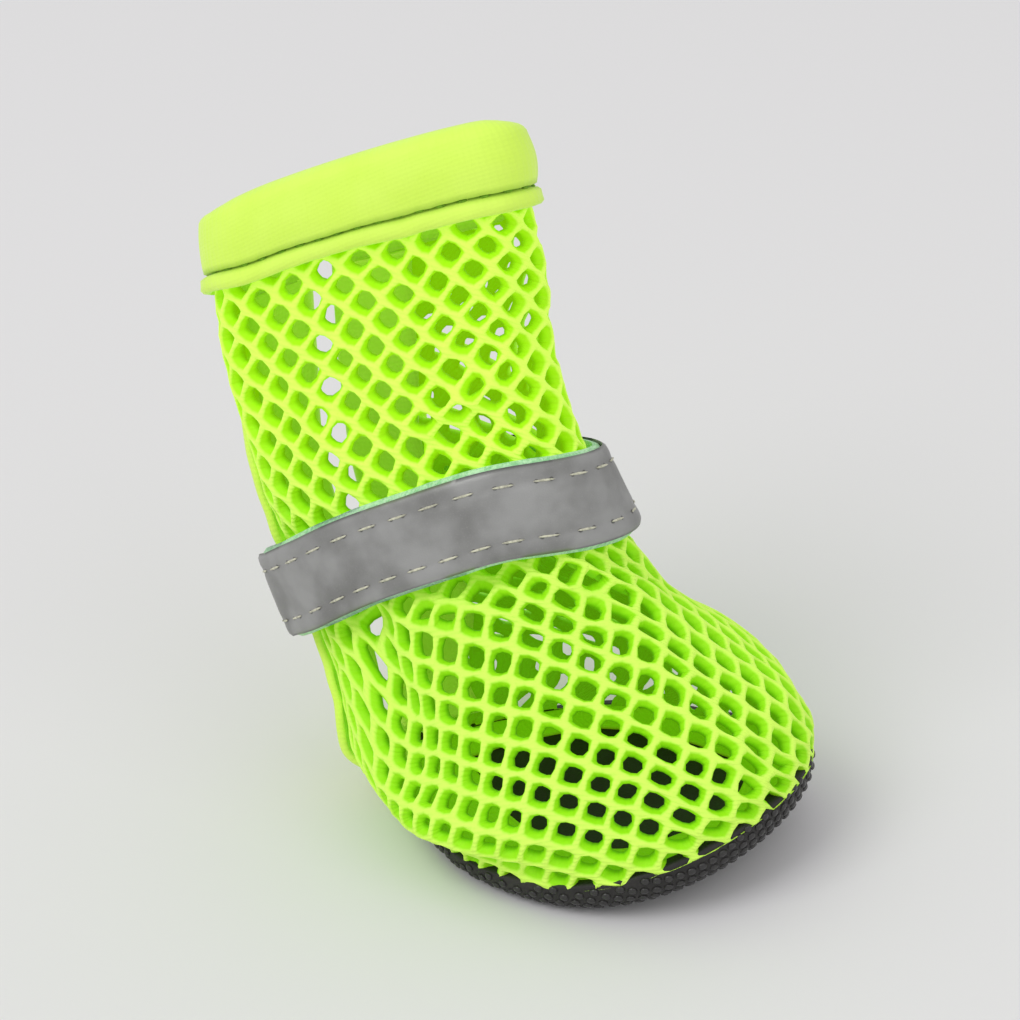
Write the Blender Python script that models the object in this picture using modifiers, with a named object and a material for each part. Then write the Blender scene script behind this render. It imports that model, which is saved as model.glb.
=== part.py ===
"""Small dog's boot: a honeycomb mesh upper on a soft non-slip sole.

The upper is one cloth wall, open at the collar, along the slit down its back and underneath, where
the sole closes it. Folded bindings cover the collar and both edges of the slit, and a hook and loop
strap with a reflective tape holds the ankle.

Metres. The toe points along +X, +Y is the boot's left side and +Z is up. The sole rests on Z = 0.
"""

import math
from collections import namedtuple

import bpy
import numpy as np

MM = 0.001

# Sole: a near-round drop with its point at the heel
SOLE_LENGTH = 54 * MM
BALL_WIDTH = 40 * MM
SOLE_THICKNESS = 1.6 * MM
TOE_SPRING = 6.2 * MM
HEEL_SPRING = 0.8 * MM
TOE_RIM_HEIGHT = 5.0 * MM
HEEL_RIM_HEIGHT = 2.0 * MM
SPRING_START = 0.12  # share of the half length where the toe starts to lift
HEEL_START = 0.72  # the same, towards the heel
FLAT_SHARE = 0.86  # share of the outline that lies flat
BALL_FORWARD = 0.14  # share of the half length that the widest place lies ahead of the middle
HEEL_POINT = 1.05  # how much the outline draws in to a point at the heel

# Upper: the foot bag up to the ankle, and the slack shaft above it
INSTEP_HEIGHT = 40 * MM
SHAFT_HEIGHT = 37 * MM
SHAFT_WIDTH = 39 * MM
SHAFT_DEPTH = 12.5 * MM
UPPER_WALL = 1.5 * MM
SLIT_GAP = 2.2 * MM
BAG_SWELL = 0.07  # how far the bag bulges past the heel, as a share of the outline
BAG_LIFT = 3.0 * MM
BAG_POINT = 0.5
BAG_GAP = 1.5  # the slit's opening there, as a share of SLIT_GAP
BAG_SLUMP = 2.6 * MM  # how far the cloth hangs out over the sole's edge behind the right side
SLUMP_ALONG = 0.195  # share of the way round where it hangs out most
SLUMP_RISE = 0.065  # share of the way up where it does
SLUMP_REACH = 0.075  # how far that fades, as a share of the way round
SLUMP_SPREAD = 0.05  # the same, up the cloth

# Bindings: one folded tape on the collar and on each edge of the slit
BINDING_WIDTH = 9.2 * MM
BINDING_THICKNESS = 0.8 * MM
BINDING_STITCH = 7.0 * MM
BINDING_GROOVE = 0.35 * MM

# Strap: soft webbing with the reflective tape on its outer face
STRAP_WIDTH = 11.0 * MM
STRAP_THICKNESS = 1.1 * MM
STRAP_FREE_END = 3.0 * MM
TAPE_WIDTH = 10.2 * MM
TAPE_THICKNESS = 0.5 * MM

CLEARANCE = 0.38 * MM

# Facets
RING_STATIONS = 44
RISE_STATIONS = 24
SOLE_STATIONS = 52
BINDING_STEPS = 6
CROWDING = 0.45
FOOT_CROWDING = 0.40
DENSE = 241

# A section is a level or sloping oval round the foot or the leg. Its height, setback, length and
# width are shares of the sizes that its table names. Slope is how far its front is the higher end,
# tip how far its right side is the higher one and turn how far its front end swings to the left,
# in degrees. Arch is how far its middle stands above its ends, as a share of its length. Square is
# near 0 for an ellipse and 2 for a flattened tube, nose and tail shape the ends (under 1 blunt,
# over 1 pointed), gap is the slit's opening as a share of SLIT_GAP and swing how far the slit lies
# to the left of straight behind, in degrees.
Section = namedtuple(
    "Section", "height setback length width slope tip turn arch square nose tail gap swing"
)

# Shares of INSTEP_HEIGHT, SOLE_LENGTH, SOLE_LENGTH and BALL_WIDTH
FOOT_SECTIONS = (
    Section(0.285, -0.028, 1.025, 1.080, 8, 0, 0, 0.00, 0.01, 0.90, 1.05, 2.0, 1),
    Section(0.375, -0.050, 1.000, 1.050, 7, 0, 0, 0.00, 0.01, 0.90, 1.05, 2.3, 3),
    Section(0.445, -0.087, 0.955, 0.990, 7, 0, 0, 0.00, 0.01, 0.92, 1.05, 2.1, 6),
    Section(0.525, -0.140, 0.875, 0.890, 9, 0, 1, 0.00, 0.01, 0.95, 1.05, 1.9, 8),
    Section(0.610, -0.202, 0.800, 0.780, 13, 0, 2, 0.00, 0.10, 1.00, 1.00, 1.7, 11),
    Section(0.730, -0.265, 0.760, 0.670, 17, 0, 4, 0.00, 0.30, 1.00, 1.00, 1.5, 14),
    Section(0.900, -0.320, 0.745, 0.570, 19, 2, 7, 0.00, 0.80, 1.00, 1.00, 1.3, 17),
)

# Shares of SHAFT_HEIGHT above the instep, SOLE_LENGTH, SHAFT_WIDTH and SHAFT_DEPTH
SHAFT_SECTIONS = (
    Section(0.090, -0.370, 1.010, 1.600, 19, 4, 10, 0.00, 1.20, 1.00, 1.00, 1.2, 19),
    Section(0.310, -0.400, 1.010, 1.350, 18, 9, 14, 0.01, 1.70, 1.00, 1.00, 1.1, 20),
    Section(0.550, -0.425, 1.010, 1.150, 17, 15, 17, 0.03, 2.00, 1.00, 1.00, 1.0, 20),
    Section(0.785, -0.440, 0.990, 1.025, 18, 21, 19, 0.03, 2.20, 1.00, 1.00, 1.0, 20),
    Section(1.000, -0.450, 0.950, 0.960, 19, 29, 20, 0.02, 2.20, 1.00, 1.00, 1.0, 20),
)

# Strap route: along is the share of the way round from the slit's right edge, height is that of its
# middle as a share of INSTEP_HEIGHT, and lift is its stand-off as a share of STRAP_THICKNESS.
StrapPoint = namedtuple("StrapPoint", "along height lift")
STRAP_ROUTE = (
    StrapPoint(0.060, 0.61, 2.10),
    StrapPoint(0.160, 0.735, 1.40),
    StrapPoint(0.270, 0.885, 0.70),
    StrapPoint(0.380, 1.00, 0.50),
    StrapPoint(0.470, 1.07, 0.50),
    StrapPoint(0.550, 1.055, 0.50),
    StrapPoint(0.660, 0.96, 0.45),
    StrapPoint(0.780, 0.88, 0.35),
    StrapPoint(0.900, 0.80, 0.35),
)

# Colours: red, green, blue, roughness
FINISHES = {
    "neon_mesh": (0.47, 0.87, 0.03, 0.75),
    "neon_binding": (0.62, 0.95, 0.10, 0.70),
    "black_grip": (0.018, 0.017, 0.016, 0.80),
    "mint_webbing": (0.45, 0.80, 0.50, 0.85),
    "grey_reflective": (0.27, 0.27, 0.26, 0.45),
}


def smooth_step(value):
    """0 below 0, 1 above 1 and a smooth rise between."""
    value = np.clip(value, 0, 1)
    return value * value * (3 - 2 * value)


def through(points, steps):
    """A smooth curve through rows of points, Catmull-Rom, with steps samples in all."""
    points = np.asarray(points, float)
    padded = np.concatenate([2 * points[:1] - points[1:2], points, 2 * points[-1:] - points[-2:-1]])
    place = np.linspace(0, len(points) - 1, steps)
    first = np.minimum(place.astype(int), len(points) - 2)
    t = (place - first).reshape((-1,) + (1,) * (points.ndim - 1))
    p0, p1, p2, p3 = (padded[first + k] for k in range(4))
    return 0.5 * (
        2 * p1
        + (p2 - p0) * t
        + (2 * p0 - 5 * p1 + 4 * p2 - p3) * t**2
        + (3 * p1 - p0 - 3 * p2 + p3) * t**3
    )


def even(points, count):
    """The polyline as count points evenly spaced along it."""
    steps = np.linalg.norm(np.diff(points, axis=0), axis=1)
    run = np.concatenate([[0], np.cumsum(steps)])
    wanted = np.linspace(0, run[-1], count)
    return np.stack([np.interp(wanted, run, points[:, k]) for k in range(3)], axis=1)


def trimmed(points, cut):
    """The polyline with cut taken off each end."""
    steps = np.linalg.norm(np.diff(points, axis=0), axis=1)
    run = np.concatenate([[0], np.cumsum(steps)])
    keep = points[(run > cut) & (run < run[-1] - cut)]
    ends = [
        [np.interp(at, run, points[:, k]) for k in range(3)] for at in (cut, run[-1] - cut)
    ]
    return np.concatenate([ends[:1], keep, ends[1:]])


def sole_outline(angle, share=1.0, point=HEEL_POINT):
    """X and Y of the sole's outline at an angle from the toe, or of a line inside or round it."""
    run = np.cos(angle) + BALL_FORWARD * np.sin(angle) ** 2
    power = 1 + point * smooth_step(-np.cos(angle))
    side = np.sign(np.sin(angle)) * np.abs(np.sin(angle)) ** power
    return share * SOLE_LENGTH / 2 * run, share * BALL_WIDTH / 2 * side


def spring(x):
    """Height of the sole's underside above the floor at a distance along the boot."""
    reach = x / (SOLE_LENGTH / 2)
    toe = np.clip((reach - SPRING_START) / (1 - SPRING_START), 0, None)
    heel = np.clip((-reach - HEEL_START) / (1 - HEEL_START), 0, None)
    return TOE_SPRING * toe**2 + HEEL_SPRING * heel**2


def rim_height(angle):
    """Height of the sole's turned-up edge, tallest at the toe."""
    return HEEL_RIM_HEIGHT + (TOE_RIM_HEIGHT - HEEL_RIM_HEIGHT) * smooth_step(
        (1 + np.cos(angle)) / 2
    )


def rim_ring(swell, lift, point):
    """A line a lift above the sole's turned-up edge, swollen most at the heel it starts from."""
    angle = np.linspace(-math.pi, math.pi, DENSE)
    x, y = sole_outline(angle, 1 + swell * (1 - np.cos(angle)) / 2, point)
    return np.stack([x, y, spring(x) + rim_height(angle) + lift], axis=1)


def section_ring(row, height_size, base_height, length_size, width_size):
    """Points of one oval section, from the slit behind it round the right side."""
    angle = np.linspace(-math.pi, math.pi, 3 * DENSE)
    half_length = row.length * length_size / 2
    half_width = row.width * width_size / 2
    cosine = np.cos(angle)
    round_part = min(half_width, half_length)
    run = (half_length - round_part) * np.tanh(row.square * cosine) / np.tanh(row.square)
    run = run + round_part * cosine
    power = row.tail + (row.nose - row.tail) * (1 + cosine) / 2
    side = half_width * np.sign(np.sin(angle)) * np.abs(np.sin(angle)) ** power
    slope, tip, turn = (math.radians(value) for value in (row.slope, row.tip, row.turn))
    level, cross = run * math.cos(slope), side * math.cos(tip)
    x = level * math.cos(turn) - cross * math.sin(turn)
    y = level * math.sin(turn) + cross * math.cos(turn)
    z = base_height + row.height * height_size + run * math.sin(slope) - side * math.sin(tip)
    z = z + 2 * half_length * row.arch * (1 - (run / half_length) ** 2)
    behind_bearing = math.pi - math.radians(row.swing)
    bearing = (np.arctan2(y, x) - behind_bearing) % (2 * math.pi)
    order = np.argsort(bearing[:-1])
    ring = np.stack([x + row.setback * SOLE_LENGTH, y, z], axis=1)[:-1][order]
    behind = (ring[0] + ring[-1]) / 2
    return np.concatenate([[behind], ring, [behind]])


def upper_grid():
    """The upper's outer face, rows rising evenly from the sole to the collar."""
    edge = BINDING_THICKNESS + CLEARANCE
    sewn = rim_ring(0, CLEARANCE, HEEL_POINT)
    bulge = rim_ring(BAG_SWELL, BAG_LIFT, BAG_POINT)
    rings = [trimmed(sewn, SLIT_GAP / 2 + edge), trimmed(bulge, BAG_GAP * SLIT_GAP / 2 + edge)]
    for row in FOOT_SECTIONS:
        ring = section_ring(row, INSTEP_HEIGHT, 0, SOLE_LENGTH, BALL_WIDTH)
        rings.append(trimmed(ring, row.gap * SLIT_GAP / 2 + edge))
    for row in SHAFT_SECTIONS:
        ring = section_ring(row, SHAFT_HEIGHT, INSTEP_HEIGHT, SHAFT_WIDTH, SHAFT_DEPTH)
        rings.append(trimmed(ring, row.gap * SLIT_GAP / 2 + edge))
    surface = through([even(ring, DENSE) for ring in rings], DENSE)
    grid = np.stack([even(surface[:, k], DENSE) for k in range(DENSE)], axis=1)
    return grid + bag_slump(grid)


def bag_slump(grid):
    """How far the cloth hangs out level over the sole's edge at each point of the grid."""
    along, rise = np.meshgrid(np.linspace(0, 1, DENSE), np.linspace(0, 1, DENSE))
    far_round = (along - SLUMP_ALONG) / SLUMP_REACH
    far_up = (rise - SLUMP_RISE) / SLUMP_SPREAD
    amount = BAG_SLUMP * np.exp(-(far_round**2) - far_up**2) * smooth_step(rise / SLUMP_RISE)
    level = grid * (1, 1, 0)
    level = level / np.linalg.norm(level, axis=2, keepdims=True)
    return amount[..., None] * level


class Skin:
    """The upper's outer face as a function of place: along it, up it and off it."""

    def __init__(self):
        self.grid = upper_grid()
        step_up = np.gradient(self.grid, axis=0)
        step_along = np.gradient(self.grid, axis=1)
        normal = np.cross(step_along, step_up)
        self.normal = normal / np.linalg.norm(normal, axis=2, keepdims=True)
        up = np.linalg.norm(np.diff(self.grid, axis=0), axis=2)
        self.length = up.sum(axis=0)
        around = np.linalg.norm(np.diff(self.grid, axis=1), axis=2)
        self.girth = around.sum(axis=1)

    def read(self, field, along, rise):
        """The field at shares of the way round and up, straight between the grid's points."""
        place_u = np.clip(along, 0, 1) * (DENSE - 1)
        place_v = np.clip(rise, 0, 1) * (DENSE - 1)
        u = np.minimum(place_u.astype(int), DENSE - 2)
        v = np.minimum(place_v.astype(int), DENSE - 2)
        s = (place_u - u)[..., None]
        t = (place_v - v)[..., None]
        low = field[v, u] * (1 - s) + field[v, u + 1] * s
        high = field[v + 1, u] * (1 - s) + field[v + 1, u + 1] * s
        return low * (1 - t) + high * t

    def point(self, along, rise, lift=0.0):
        """Points lifted off the face, carried straight on past its four edges."""
        along, rise, lift = np.broadcast_arrays(
            np.asarray(along, float), np.asarray(rise, float), np.asarray(lift, float)
        )
        place = self.read(self.grid, along, rise)
        step = 1 / (DENSE - 1)
        inside_u = np.clip(along, 0, 1)
        inside_v = np.clip(rise, 0, 1)
        inner_u = np.where(along > 1, 1 - step, step)
        inner_v = np.where(rise > 1, 1 - step, step)
        out_u = (along - inside_u)[..., None] / np.where(along > 1, step, -step)[..., None]
        out_v = (rise - inside_v)[..., None] / np.where(rise > 1, step, -step)[..., None]
        place = place + out_u * (place - self.read(self.grid, inner_u, inside_v))
        place = place + out_v * (
            self.read(self.grid, inside_u, inside_v) - self.read(self.grid, inside_u, inner_v)
        )
        normal = self.read(self.normal, inside_u, inside_v)
        normal = normal / np.linalg.norm(normal, axis=-1, keepdims=True)
        return place + lift[..., None] * normal

    def length_at(self, along):
        """Length of the face from the sole to the collar at a place round it."""
        return np.interp(along, np.linspace(0, 1, DENSE), self.length)

    def girth_at(self, rise):
        """Length of the face from one edge of the slit to the other at a height."""
        return np.interp(rise, np.linspace(0, 1, DENSE), self.girth)

    def rise_at(self, along, height):
        """How far up the face stands at a height above the floor."""
        rises = np.linspace(0, 1, DENSE)
        column = self.read(self.grid, np.full(DENSE, along), rises)[:, 2]
        return float(np.interp(height, column, rises))


def material(name):
    """A plain finish from the table of finishes."""
    red, green, blue, roughness = FINISHES[name]
    made = bpy.data.materials.new(name)
    made.use_nodes = True
    shader = made.node_tree.nodes["Principled BSDF"]
    shader.inputs["Base Color"].default_value = (red, green, blue, 1)
    shader.inputs["Roughness"].default_value = roughness
    made.diffuse_color = (red, green, blue, 1)
    return made


def add_mesh(name, points, faces, finish, collection):
    """A named object from points and faces, smooth but for its sharp edges."""
    mesh = bpy.data.meshes.new(name)
    mesh.from_pydata([tuple(point) for point in points], [], faces)
    mesh.validate()
    mesh.materials.append(material(finish))
    mesh.shade_smooth()
    mesh.set_sharp_from_angle(angle=math.radians(50))
    thing = bpy.data.objects.new(name, mesh)
    collection.objects.link(thing)
    return thing


def grid_faces(rows, columns, closed=False):
    """Quads between rows of points, with the last column joined to the first when closed."""
    faces = []
    for row in range(rows - 1):
        for column in range(columns if closed else columns - 1):
            after = (column + 1) % columns
            faces.append(
                (
                    row * columns + column,
                    row * columns + after,
                    (row + 1) * columns + after,
                    (row + 1) * columns + column,
                )
            )
    return faces


def add_sweep(name, rows, finish, collection):
    """A closed solid from equal closed profiles, one after another, with both ends capped."""
    count, around = rows.shape[:2]
    faces = [face[::-1] for face in grid_faces(count, around, closed=True)]
    faces.append(tuple(range(around)))
    last = (count - 1) * around
    faces.append(tuple(range(last + around - 1, last - 1, -1)))
    return add_mesh(name, rows.reshape(-1, 3), faces, finish, collection)


def wall(thing, thickness):
    """Gives an open face its thickness, inwards from the face."""
    solidify = thing.modifiers.new("wall", "SOLIDIFY")
    solidify.thickness = thickness
    solidify.offset = -1
    solidify.use_even_offset = True


def build_sole(collection):
    """A dish of soft grip sheet: flat where it rests, its edge turned up round the foot."""
    angle = np.linspace(-math.pi, math.pi, SOLE_STATIONS, endpoint=False)
    turned = np.radians((0, 22, 45, 68, 90))
    shares = [0.45, 0.70, *(FLAT_SHARE + (1 - FLAT_SHARE) * np.sin(turned))]
    lifts = [0, 0, *(0.75 * (1 - np.cos(turned)))]
    shares.append(1.0)
    lifts.append(1.0)
    points = [(0, 0, 0)]
    for share, lift in zip(shares, lifts):
        x, y = sole_outline(angle, share)
        z = spring(x) + lift * rim_height(angle)
        points.extend(np.stack([x, y, z], axis=1))
    faces = [(0, 1 + (k + 1) % SOLE_STATIONS, 1 + k) for k in range(SOLE_STATIONS)]
    rings = grid_faces(len(shares), SOLE_STATIONS, closed=True)
    faces.extend(tuple(1 + corner for corner in face) for face in rings)
    sole = add_mesh("sole", points, faces, "black_grip", collection)
    wall(sole, SOLE_THICKNESS)
    return sole


def ring_stations():
    """Places round the upper, closer together at the slit and the front, where it bends most."""
    even_steps = np.linspace(0, 1, RING_STATIONS)
    return even_steps - CROWDING * np.sin(4 * math.pi * even_steps) / (4 * math.pi)


def rise_stations():
    """Places up the upper, closer together low down, where the bag turns in under the foot."""
    even_steps = np.linspace(0, 1, RISE_STATIONS)
    return even_steps * (1 - FOOT_CROWDING) + FOOT_CROWDING * even_steps**2


def build_upper(skin, collection):
    """The cloth wall of the foot and the shaft."""
    along, rise = np.meshgrid(ring_stations(), rise_stations())
    points = skin.point(along, rise)
    faces = grid_faces(RISE_STATIONS, RING_STATIONS)
    upper = add_mesh("upper", points.reshape(-1, 3), faces, "neon_mesh", collection)
    wall(upper, UPPER_WALL)
    return upper


def binding_profile():
    """The folded tape across its width: distance in from the bound edge, and lift off the face."""
    near = CLEARANCE
    far = CLEARANCE + BINDING_THICKNESS
    inside = -UPPER_WALL - CLEARANCE
    lining = inside - BINDING_THICKNESS
    middle = -UPPER_WALL / 2
    edge = -0.4 * near
    inward = np.linspace(BINDING_WIDTH, edge, BINDING_STEPS)
    groove = BINDING_STITCH + BINDING_GROOVE * np.array((1.6, 0, -1.6))
    crown = 0.15 * BINDING_THICKNESS
    outer = [(BINDING_WIDTH, far)]
    outer += [(groove[0], far), (groove[1], far - BINDING_GROOVE), (groove[2], far)]
    outer += [(at, far) for at in inward[1:-1] if at < groove[2] - BINDING_GROOVE]
    outer += [(edge, far - crown), (-far, middle), (edge, lining + crown)]
    outer += [(at, lining) for at in inward[-2::-1]]
    inner = [(at, inside) for at in inward[:-1]]
    inner += [(edge, inside), (-near, middle), (edge, near)]
    inner += [(at, near) for at in inward[-2::-1]]
    return np.array(outer + inner)


def build_collar_binding(skin, collection):
    """The tape folded over the top edge, from one edge of the slit to the other."""
    distance, lift = binding_profile().T
    rows = [skin.point(at, 1 - distance / skin.length_at(at), lift) for at in ring_stations()]
    return add_sweep("collar_binding", np.array(rows), "neon_binding", collection)


def build_slit_binding(name, skin, right, collection):
    """The tape folded over one edge of the slit, from the sole to the collar binding."""
    top = 1 - (BINDING_WIDTH + 2 * CLEARANCE) / skin.length_at(0.0 if right else 1.0)
    rises = rise_stations()
    stations = np.append(rises[rises < top - 0.3 / RISE_STATIONS], top)
    distance, lift = binding_profile().T
    rows = []
    for at in stations:
        share = distance / skin.girth_at(at)
        rows.append(skin.point(share if right else 1 - share, at, lift))
    if not right:
        rows = rows[::-1]
    return add_sweep(name, np.array(rows), "neon_binding", collection)


def strap_rows(skin, width, thickness, rest):
    """Four-cornered profiles of a flat layer of the strap, from its sewn end to its free end."""
    route = through([tuple(point) for point in STRAP_ROUTE], 40)[::-1]
    across = np.array((-0.5, 0.0, 0.5, 0.5, 0.0, -0.5))
    outer = np.array((0, 0, 0, 1, 1, 1))
    rows = []
    for along, height, lift in route:
        rise = skin.rise_at(along, height * INSTEP_HEIGHT)
        share = across * width / skin.length_at(along)
        stand = CLEARANCE + lift * STRAP_THICKNESS + rest + outer * thickness
        rows.append(skin.point(along, rise + share, stand))
    last, before = rows[-1], rows[-3]
    onward = last.mean(axis=0) - before.mean(axis=0)
    onward = onward / np.linalg.norm(onward)
    for share in (0.34, 0.67, 1.0):
        rows.append(last + onward * share * STRAP_FREE_END)
    return np.array(rows)


def build_strap(skin, collection):
    """The soft webbing round the ankle, sewn to the left side, and the reflective tape on it."""
    webbing = strap_rows(skin, STRAP_WIDTH, STRAP_THICKNESS, 0)
    tape = strap_rows(skin, TAPE_WIDTH, TAPE_THICKNESS, STRAP_THICKNESS + CLEARANCE)
    add_sweep("strap_webbing", webbing, "mint_webbing", collection)
    add_sweep("reflective_tape", tape, "grey_reflective", collection)


def main():
    """Clears the scene and builds the boot."""
    for thing in list(bpy.data.objects):
        bpy.data.objects.remove(thing, do_unlink=True)
    collection = bpy.data.collections.new("dog_boot")
    bpy.context.scene.collection.children.link(collection)
    skin = Skin()
    build_sole(collection)
    build_upper(skin, collection)
    build_collar_binding(skin, collection)
    build_slit_binding("slit_binding_right", skin, True, collection)
    build_slit_binding("slit_binding_left", skin, False, collection)
    build_strap(skin, collection)


main()
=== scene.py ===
"""The looks of the small dog's boot: open honeycomb mesh, bound edges, grip sole and strap."""

import logging
import math
from dataclasses import dataclass, field
from enum import Enum
from typing import Callable, Sequence

import bmesh
import bpy
import numpy as np
from mathutils import Matrix, Vector


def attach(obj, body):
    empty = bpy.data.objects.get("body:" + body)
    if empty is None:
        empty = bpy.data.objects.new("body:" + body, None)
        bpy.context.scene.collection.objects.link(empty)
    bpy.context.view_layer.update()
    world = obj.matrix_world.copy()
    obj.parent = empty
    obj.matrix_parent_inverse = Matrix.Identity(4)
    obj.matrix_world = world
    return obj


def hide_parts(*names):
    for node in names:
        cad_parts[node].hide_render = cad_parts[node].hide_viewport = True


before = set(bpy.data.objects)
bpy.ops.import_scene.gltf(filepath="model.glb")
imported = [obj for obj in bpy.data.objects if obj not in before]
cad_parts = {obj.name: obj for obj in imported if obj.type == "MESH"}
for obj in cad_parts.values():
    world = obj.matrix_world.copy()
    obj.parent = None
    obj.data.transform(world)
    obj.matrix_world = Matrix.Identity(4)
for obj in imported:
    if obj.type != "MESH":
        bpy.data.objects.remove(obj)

Array = np.ndarray

logging.basicConfig(level=logging.INFO, format="%(message)s")
log = logging.getLogger("dog_boot")

MM = 0.001
DENSE = 281
SHARES = np.linspace(0, 1, DENSE)


class Side(Enum):
    """Which edge of the back slit a binding covers."""

    RIGHT = "right"
    LEFT = "left"


class Zone(Enum):
    """Which of its named sizes a section of the upper follows."""

    FOOT = "foot"
    SHAFT = "shaft"


@dataclass(frozen=True)
class Section:
    """One oval section of the upper, as shares of the boot's sizes and angles in degrees."""

    zone: Zone
    height: float
    setback: float
    length: float
    width: float
    slope: float
    tip: float
    turn: float
    arch: float
    square: float
    nose: float
    tail: float
    gap: float
    swing: float


@dataclass(frozen=True)
class StrapPoint:
    """A place on the strap's route: share round, height and stand-off as shares of its sizes."""

    along: float
    height: float
    lift: float


@dataclass(frozen=True)
class Crease:
    """A soft trough or ridge in the cloth between two places, with width and depth in mm.

    Places are shares round and up the upper. A depth under zero is a trough.
    """

    start: tuple[float, float]
    end: tuple[float, float]
    width: float
    depth: float


F, S = Zone.FOOT, Zone.SHAFT
SECTIONS: tuple[Section, ...] = (
    Section(F, 0.285, -0.028, 1.025, 1.080, 8, 0, 0, 0.00, 0.01, 0.90, 1.05, 2.0, 1),
    Section(F, 0.375, -0.050, 1.000, 1.050, 7, 0, 0, 0.00, 0.01, 0.90, 1.05, 2.3, 3),
    Section(F, 0.445, -0.087, 0.955, 0.990, 7, 0, 0, 0.00, 0.01, 0.92, 1.05, 2.1, 6),
    Section(F, 0.525, -0.140, 0.875, 0.890, 9, 0, 1, 0.00, 0.01, 0.95, 1.05, 1.9, 8),
    Section(F, 0.610, -0.202, 0.800, 0.780, 13, 0, 2, 0.00, 0.10, 1.00, 1.00, 1.7, 11),
    Section(F, 0.730, -0.265, 0.760, 0.670, 17, 0, 4, 0.00, 0.30, 1.00, 1.00, 1.5, 14),
    Section(F, 0.900, -0.320, 0.745, 0.570, 19, 2, 7, 0.00, 0.80, 1.00, 1.00, 1.3, 17),
    Section(S, 0.090, -0.370, 1.010, 1.600, 19, 4, 10, 0.00, 1.20, 1.00, 1.00, 1.2, 19),
    Section(S, 0.310, -0.400, 1.010, 1.350, 18, 9, 14, 0.01, 1.70, 1.00, 1.00, 1.1, 20),
    Section(S, 0.550, -0.425, 1.010, 1.150, 17, 15, 17, 0.03, 2.00, 1.00, 1.00, 1.0, 20),
    Section(S, 0.785, -0.440, 0.990, 1.025, 18, 21, 19, 0.03, 2.20, 1.00, 1.00, 1.0, 20),
    Section(S, 1.000, -0.450, 0.950, 0.960, 19, 29, 20, 0.02, 2.20, 1.00, 1.00, 1.0, 20),
)

STRAP_ROUTE: tuple[StrapPoint, ...] = (
    StrapPoint(0.060, 0.610, 2.10),
    StrapPoint(0.160, 0.735, 1.40),
    StrapPoint(0.270, 0.885, 0.70),
    StrapPoint(0.380, 1.000, 0.50),
    StrapPoint(0.470, 1.070, 0.50),
    StrapPoint(0.550, 1.055, 0.50),
    StrapPoint(0.660, 0.960, 0.45),
    StrapPoint(0.780, 0.880, 0.35),
    StrapPoint(0.900, 0.800, 0.35),
)

CREASES: tuple[Crease, ...] = (
    Crease((0.30, 0.470), (0.48, 0.490), 2.6, -3.0),
    Crease((0.27, 0.415), (0.38, 0.425), 2.0, 1.3),
    Crease((0.43, 0.425), (0.54, 0.405), 2.0, 1.0),
    Crease((0.37, 0.450), (0.46, 0.455), 2.2, -1.8),
    Crease((0.16, 0.440), (0.25, 0.415), 2.6, -2.8),
    Crease((0.24, 0.420), (0.21, 0.200), 3.0, -1.6),
    Crease((0.29, 0.400), (0.27, 0.240), 2.6, 0.9),
    Crease((0.48, 0.440), (0.53, 0.330), 1.3, -1.1),
    Crease((0.51, 0.450), (0.56, 0.340), 1.3, -1.1),
    Crease((0.54, 0.440), (0.60, 0.300), 1.6, -1.3),
    Crease((0.49, 0.440), (0.55, 0.325), 1.2, 0.9),
    Crease((0.525, 0.440), (0.58, 0.320), 1.3, 0.9),
    Crease((0.38, 0.620), (0.53, 0.640), 2.2, -1.4),
    Crease((0.42, 0.655), (0.53, 0.680), 1.8, 0.8),
    Crease((0.44, 0.690), (0.54, 0.715), 1.8, -0.7),
    Crease((0.35, 0.600), (0.32, 0.760), 2.8, -1.0),
    Crease((0.30, 0.620), (0.27, 0.780), 2.4, 0.7),
    Crease((0.16, 0.620), (0.20, 0.860), 3.6, 0.6),
    Crease((0.60, 0.640), (0.63, 0.860), 2.4, -0.9),
    Crease((0.66, 0.420), (0.82, 0.360), 3.0, -1.6),
    Crease((0.60, 0.300), (0.76, 0.220), 4.0, -0.9),
    Crease((0.70, 0.560), (0.74, 0.740), 3.5, -0.9),
    Crease((0.46, 0.300), (0.54, 0.160), 5.0, 0.5),
)


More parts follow.
